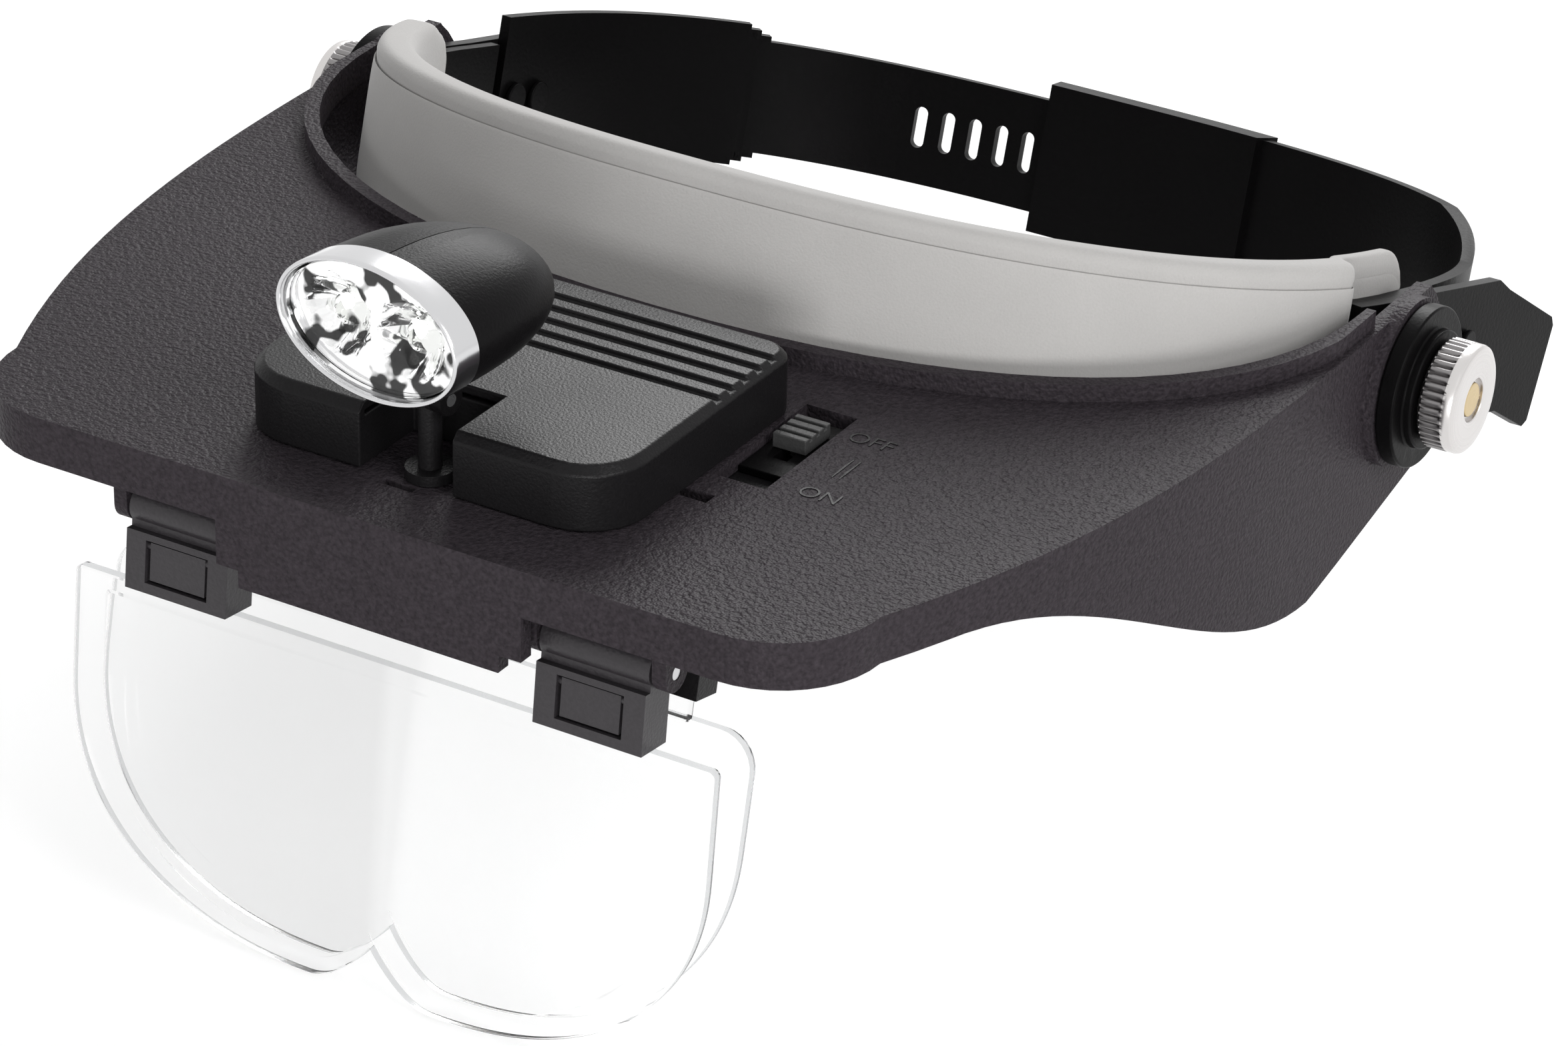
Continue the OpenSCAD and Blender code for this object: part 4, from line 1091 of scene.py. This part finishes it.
@dataclass
class LensPlates:
    """The two clear plates with their optical zones, the clips and the latches."""

    plates: tuple[Plate, ...] = (
        Plate("front", 6.2, 1.0, 27.0, 38.4, -16.3, 6.3, 6.4),
        Plate("rear", 17.0, 5.0, 33.0, 40.6, -15.5, 12.3, 17.0),
    )
    half_w: float = 50.8
    height: float = 48.8
    thick: float = 2.0
    nose_h: float = 6.9
    nose_half_w: float = 10.0
    nose_power: float = 0.9
    lobe_h: float = 33.0
    lobe_power: float = 2.2
    hinge_z: float = -11.8
    top_z: float = -23.5
    centre_z: float = -20.0
    zone: float = 0.885
    zone_step: float = 0.3
    eye_x: float = 24.0
    eye_z: float = -24.0
    eye_half_w: float = 30.0
    eye_half_h: float = 34.0
    eye_rise: float = 0.75
    bevel: float = 0.25
    bevel_from: float = 0.995
    rim_zone: int = 12
    tongue_root: float = 0.6
    tongue_power: float = 8.0

    def outline(self, corner: float) -> Array:
        """A plate's outline: an oval lobe under each eye, a notch for the nose, rounded corners.

        Args:
            corner: radius of the two top corners.

        Returns:
            The closed outline from the nose up the right side and down the left.
        """
        x = np.linspace(0, self.nose_half_w, 14, endpoint=False)
        fall = np.sin(math.pi / 2 * x / self.nose_half_w) ** self.nose_power
        nose = grid(x, -self.height + self.nose_h * (1 - fall))
        lobe_z = self.lobe_h - self.height
        t = np.linspace(1.5 * math.pi, 2 * math.pi, 44)
        lobe = oval(t, self.half_w - self.nose_half_w, self.lobe_h, self.lobe_power)
        lobe += (self.nose_half_w, lobe_z)
        a = np.linspace(0, math.pi / 2, 8)
        round_part = grid(self.half_w - corner + corner * np.cos(a), -corner + corner * np.sin(a))
        side = grid(self.half_w, np.linspace(lobe_z, -corner, 8)[1:-1])
        top = grid(np.linspace(self.half_w - corner, 0, 16)[1:-1], 0.0)
        right = np.concatenate([nose, lobe, side, round_part, top])
        left = right[::-1][:-1] * (-1, 1)
        return np.concatenate([right, [[0.0, 0.0]], left])

    def plate(self, plate: Plate) -> Surface:
        """One plate: its outline drawn in towards the middle, with a raised optical zone.

        The front bulges in the zone by a shallow bowl over each eye, and the two bowls meet in a
        crease down the middle.

        Args:
            plate: its place, corners and tongues.

        Returns:
            The plate with its tongues.
        """
        edge, middle, z = self.outline(plate.corner), np.array([0.0, self.centre_z]), self.zone
        front = [0.05, 0.2, 0.35, 0.5, 0.62, 0.74, z - 0.06, z - 0.02, z, z + 0.012, 0.96, 0.99, 1.0]
        share = np.array([*front, 1.0, 0.99, 0.7, 0.4, 0.1])[:, None]
        out = np.where(np.arange(len(share)) < len(front), -1, 1)[:, None]
        x, height = np.moveaxis(middle + share[..., None] * (edge - middle), -1, 0)
        eye_x, eye_z = (np.abs(x) - self.eye_x) / self.eye_half_w, (height - self.eye_z) / self.eye_half_h
        bulge = self.zone_step + self.eye_rise * np.clip(1 - eye_x**2 - eye_z**2, 0, 1)
        lift = np.where((out < 0) & (share <= z), bulge, 0.0)
        bevel = np.where(share > self.bevel_from, self.bevel, 0.0)
        depth = plate.y + out * (self.thick / 2 - bevel) - lift
        body = Surface.loft(grid(x, depth, height + self.top_z))
        for side in (-1, 1):
            body = body + self.tongue(plate, side)
        body.points = in_visor(leaned(body.points, plate.lean, (plate.hinge_y, self.hinge_z)))
        return body

    def tongue(self, plate: Plate, side: int) -> Surface:
        """A tongue in a clip: a squared oval carried up from the plate's top edge.

        Args:
            plate: the plate that it belongs to.
            side: -1 for the left clip and 1 for the right.

        Returns:
            The closed tongue, before the plate leans.
        """
        half_w = (plate.tongue_out - plate.tongue_in) / 2
        section = oval(circle(32), half_w, self.thick / 2, self.tongue_power)
        base, top = self.top_z, plate.tongue_top
        levels = np.array([base - self.tongue_root, base + 0.5, top - 1.2, top - 0.3, top])
        shrink = np.array([1.0, 1.0, 1.0, 0.96, 0.85])
        x = side * (plate.tongue_in + half_w) + section[:, 0] * shrink[:, None]
        depth = plate.y + section[:, 1] * shrink[:, None]
        return Surface.loft(grid(x, depth, levels[:, None]))

    def build(self) -> None:
        """Makes both plates with greyer rims as painted shade, and dresses the clips, latches, holder and pins."""
        for plate in self.plates:
            skin = self.plate(plate)
            item = skin.piece(f"{plate.name}_lens_clear", sharp=20)
            finish_piece(item, LENS, f"{plate.name}_lens_plate")
            # painted shade: the rim faces of each plate get the grey edge finish
            add_look(item, SHADED_LENS_EDGE, np.array(skin.zones) == self.rim_zone)
        for side in ("left", "right"):
            Moulding(f"clip_frame_{side}", CLIP, 0.35, 3).build()
            Moulding(f"latch_tab_{side}", CLIP, 0.3).build()
        Moulding("rear_lens_holder", SATIN, 0.35).build()
        dress_nodes(PLAIN_METAL, "front_hinge_pins", "rear_hinge_pins")


@dataclass
class Visor:
    """The visor's shell, and the raised marks beside the switch."""

    taper: float = 25.5
    length: float = 129.7
    side_power: float = 3.0
    corner: float = 15.0
    ridge: float = 1.6
    mark_size: float = 3.915
    mark_rise: float = 0.10
    mark_thin: float = -0.04
    mark_gap: float = 0.02
    off_at: tuple[float, float] = (43.5, 55.0)
    on_at: tuple[float, float] = (45.4, 38.2)
    bars_at: tuple[float, float] = (44.6, 46.6)
    bar_shift: float = 0.55
    bar_half_w: float = 0.18
    bar_half_l: float = 2.9

    @classmethod
    def outline_half_w(cls, y: Array) -> Array:
        """The visor's half width: a power curve that widens to the back, with a round corner.

        Args:
            y: distances behind its front edge.

        Returns:
            The half width at each distance.
        """
        half_w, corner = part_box("visor_shell")[1].x / MM, cls.corner
        side = half_w - cls.taper * np.maximum(0.0, 1 - y / cls.length) ** cls.side_power
        base = half_w - cls.taper * (1 - corner / cls.length) ** cls.side_power - corner
        rounded = base + np.sqrt(np.maximum(0.0, corner**2 - (corner - np.clip(y, 0, corner)) ** 2))
        return np.where(y < corner, rounded, side)

    def word(self, text: str, at: tuple[float, float]) -> bpy.types.Object:
        """A short word lying on the visor's top.

        Args:
            text: the word.
            at: its middle, from the middle of the visor's front edge.

        Returns:
            The word as a mesh.
        """
        curve = bpy.data.curves.new("word", "FONT")
        curve.body = text
        curve.size = self.mark_size
        curve.extrude = self.mark_rise
        curve.offset = self.mark_thin
        curve.align_x = curve.align_y = "CENTER"
        source = linked("word", curve)
        mesh = bpy.data.meshes.new_from_object(source.evaluated_get(bpy.context.evaluated_depsgraph_get()))
        bpy.data.objects.remove(source)
        placed = in_visor(read(mesh.vertices, "co", 3) + (*at, self.mark_gap))
        mesh.vertices.foreach_set("co", placed.ravel())
        mesh.update()
        return linked(f"mark_{text.lower()}", mesh)

    def bar(self, shift: float) -> Surface:
        """A raised bar between the words: a squared oval carried up from the visor's top.

        Args:
            shift: how far the bar stands to the right of the middle.

        Returns:
            The closed bar.
        """
        section = oval(circle(28), self.bar_half_w, self.bar_half_l, 4)
        levels, shrink = np.array([-0.05, 0.06, 0.11]), np.array([1.0, 1.0, 0.8])
        x = self.bars_at[0] + shift + section[:, 0] * shrink[:, None]
        y = self.bars_at[1] + section[:, 1] * shrink[:, None]
        return Surface.loft(in_visor(grid(x, y, levels[:, None])))

    def build(self) -> None:
        """Dresses the shell and lays the marks on it."""
        Moulding("visor_shell", VISOR_TOP, 0.35, 3, self.ridge).build()
        words = [self.word("OFF", self.off_at), self.word("ON", self.on_at)]
        bars = self.bar(-self.bar_shift) + self.bar(self.bar_shift)
        for item in (*words, bars.piece("mark_bars")):
            finish_piece(item, SATIN, "visor_shell", stands_for=False)


@dataclass
class BatteryBox:
    """The battery cover, the tray and cells under it, and the switch."""

    cover_edge: float = 0.3
    tray_edge: float = 0.25
    knob_edge: float = 0.2
    body_edge: float = 0.15

    def build(self) -> None:
        """Rounds and dresses the cover, tray and switch, and dresses what is in the tray."""
        Moulding("battery_cover", SATIN, self.cover_edge, 3).build()
        Moulding("battery_tray", SATIN, self.tray_edge).build()
        Moulding("switch_knob", KNOB, self.knob_edge).build()
        Moulding("switch_body", STRAP, self.body_edge).build()
        dress_nodes(CELL, "battery_cells")
        dress_nodes(PLAIN_METAL, "contact_springs", "contact_plates", "tray_screws")


@dataclass
class HeadLamp:
    """The swivel lamp: post, two shells, bezel, window, reflector and bulbs."""

    half_w: float = 14.4
    half_h: float = 8.6
    rim_w: float = 15.4
    rim_h: float = 9.6
    rim_front: float = -12.4
    rim_back: float = -7.85
    rim_thick: float = 0.74
    lift: float = 13.2
    front: float = -10.1
    thick: float = 0.5
    bulb_x: float = 6.2
    bowl_r: float = 5.9
    bowl_d: float = 5.2
    facets: int = 9
    facet_depth: float = 0.10
    ridge_h: float = 0.35
    ridge_half_w: float = 0.9
    around: int = 144
    rim_around: int = 160

    def reflector(self) -> Surface:
        """The reflector: an oval plate sunk into a facetted bowl about each bulb.

        Each bowl falls off with the square of the distance from its bulb, the distance is
        stretched by a wave of straight facets, and the deeper bowl wins at each point. Two low
        ridges cross the plate from corner to corner.

        Returns:
            The closed reflector.
        """
        share = np.concatenate([np.linspace(0.02, 0.98, 44), [1.0]])
        flat = share[:, None, None] * oval(circle(self.around), self.half_w, self.half_h, 2)
        deepest = np.zeros(flat.shape[:2])
        for side in (-1, 1):
            dx, dz = flat[..., 0] - side * self.bulb_x, flat[..., 1]
            turn = np.arctan2(dz, dx) * self.facets / 2
            reach = np.hypot(dx, dz) * (1 + self.facet_depth * np.abs(np.cos(turn)))
            deepest = np.maximum(deepest, self.bowl_d * np.clip(1 - (reach / self.bowl_r) ** 2, 0, 1))
        aside = np.abs(np.abs(flat[..., 0]) - np.abs(flat[..., 1]))
        ridge = self.ridge_h * np.clip(1 - aside / self.ridge_half_w, 0, 1)
        depth = self.front + np.maximum(deepest - ridge, 0.0)
        front = grid(flat[..., 0], depth, self.lift + flat[..., 1])
        rear = front[::-1] + (0.0, self.thick, 0.0)
        return Surface.loft(in_lamp(np.concatenate([front, rear])))

    def bezel(self) -> Surface:
        """The bezel: a thin rolled lip and a deep side, as a profile carried round the lamp's oval.

        The profile's columns are the distance in from the outside and the place along the lamp.

        Returns:
            The closed ring.
        """
        front, back, thick = self.rim_front, self.rim_back, self.rim_thick
        inset, y = np.array(
            [
                (0.0, back), (0.0, front + 2.6), (0.0, front + 0.6), (0.05, front + 0.25),
                (0.18, front + 0.06), (0.36, front), (0.54, front + 0.06), (0.66, front + 0.22),
                (0.72, front + 0.5), (thick, front + 1.0), (thick, front + 2.2), (thick, back),
            ]
        ).T[:, :, None]
        angle = circle(self.rim_around)
        x, z = (self.rim_w - inset) * np.cos(angle), self.lift + (self.rim_h - inset) * np.sin(angle)
        return Surface.loft(in_lamp(grid(x, y, z)), ring_closed=True)

    def build(self) -> None:
        """Makes the reflector and the bezel, and dresses the rest of the lamp."""
        finish_piece(self.reflector().piece("lamp_reflector_bowls", sharp=25), REFLECTOR, "lamp_reflector")
        finish_piece(self.bezel().piece("lamp_bezel_lip", sharp=40), BEZEL, "lamp_bezel")
        for node, look, radius in (
            ("lamp_shell_left", SHELL, 0.35),
            ("lamp_shell_right", SHELL, 0.35),
            ("lamp_post", SATIN, 0.3),
            ("lamp_window", WINDOW, 0.15),
            ("lamp_bulbs", BULB, 0.0),
        ):
            Moulding(node, look, radius).build()
        dress_nodes(PLAIN_METAL, "lamp_post_ring", "lamp_tilt_pin")
        dress_nodes(BOARD, "lamp_board")


def main() -> None:
    """Builds the studio and each sub-assembly in turn."""
    logging.basicConfig(level=logging.INFO, format="%(name)s: %(message)s")
    Studio().build()
    for part in (Visor(), Headband(), TemplePivots(), LensPlates(), BatteryBox(), HeadLamp()):
        part.build()
        log.info("%s is dressed", type(part).__name__)


if __name__ == "__main__":
    main()
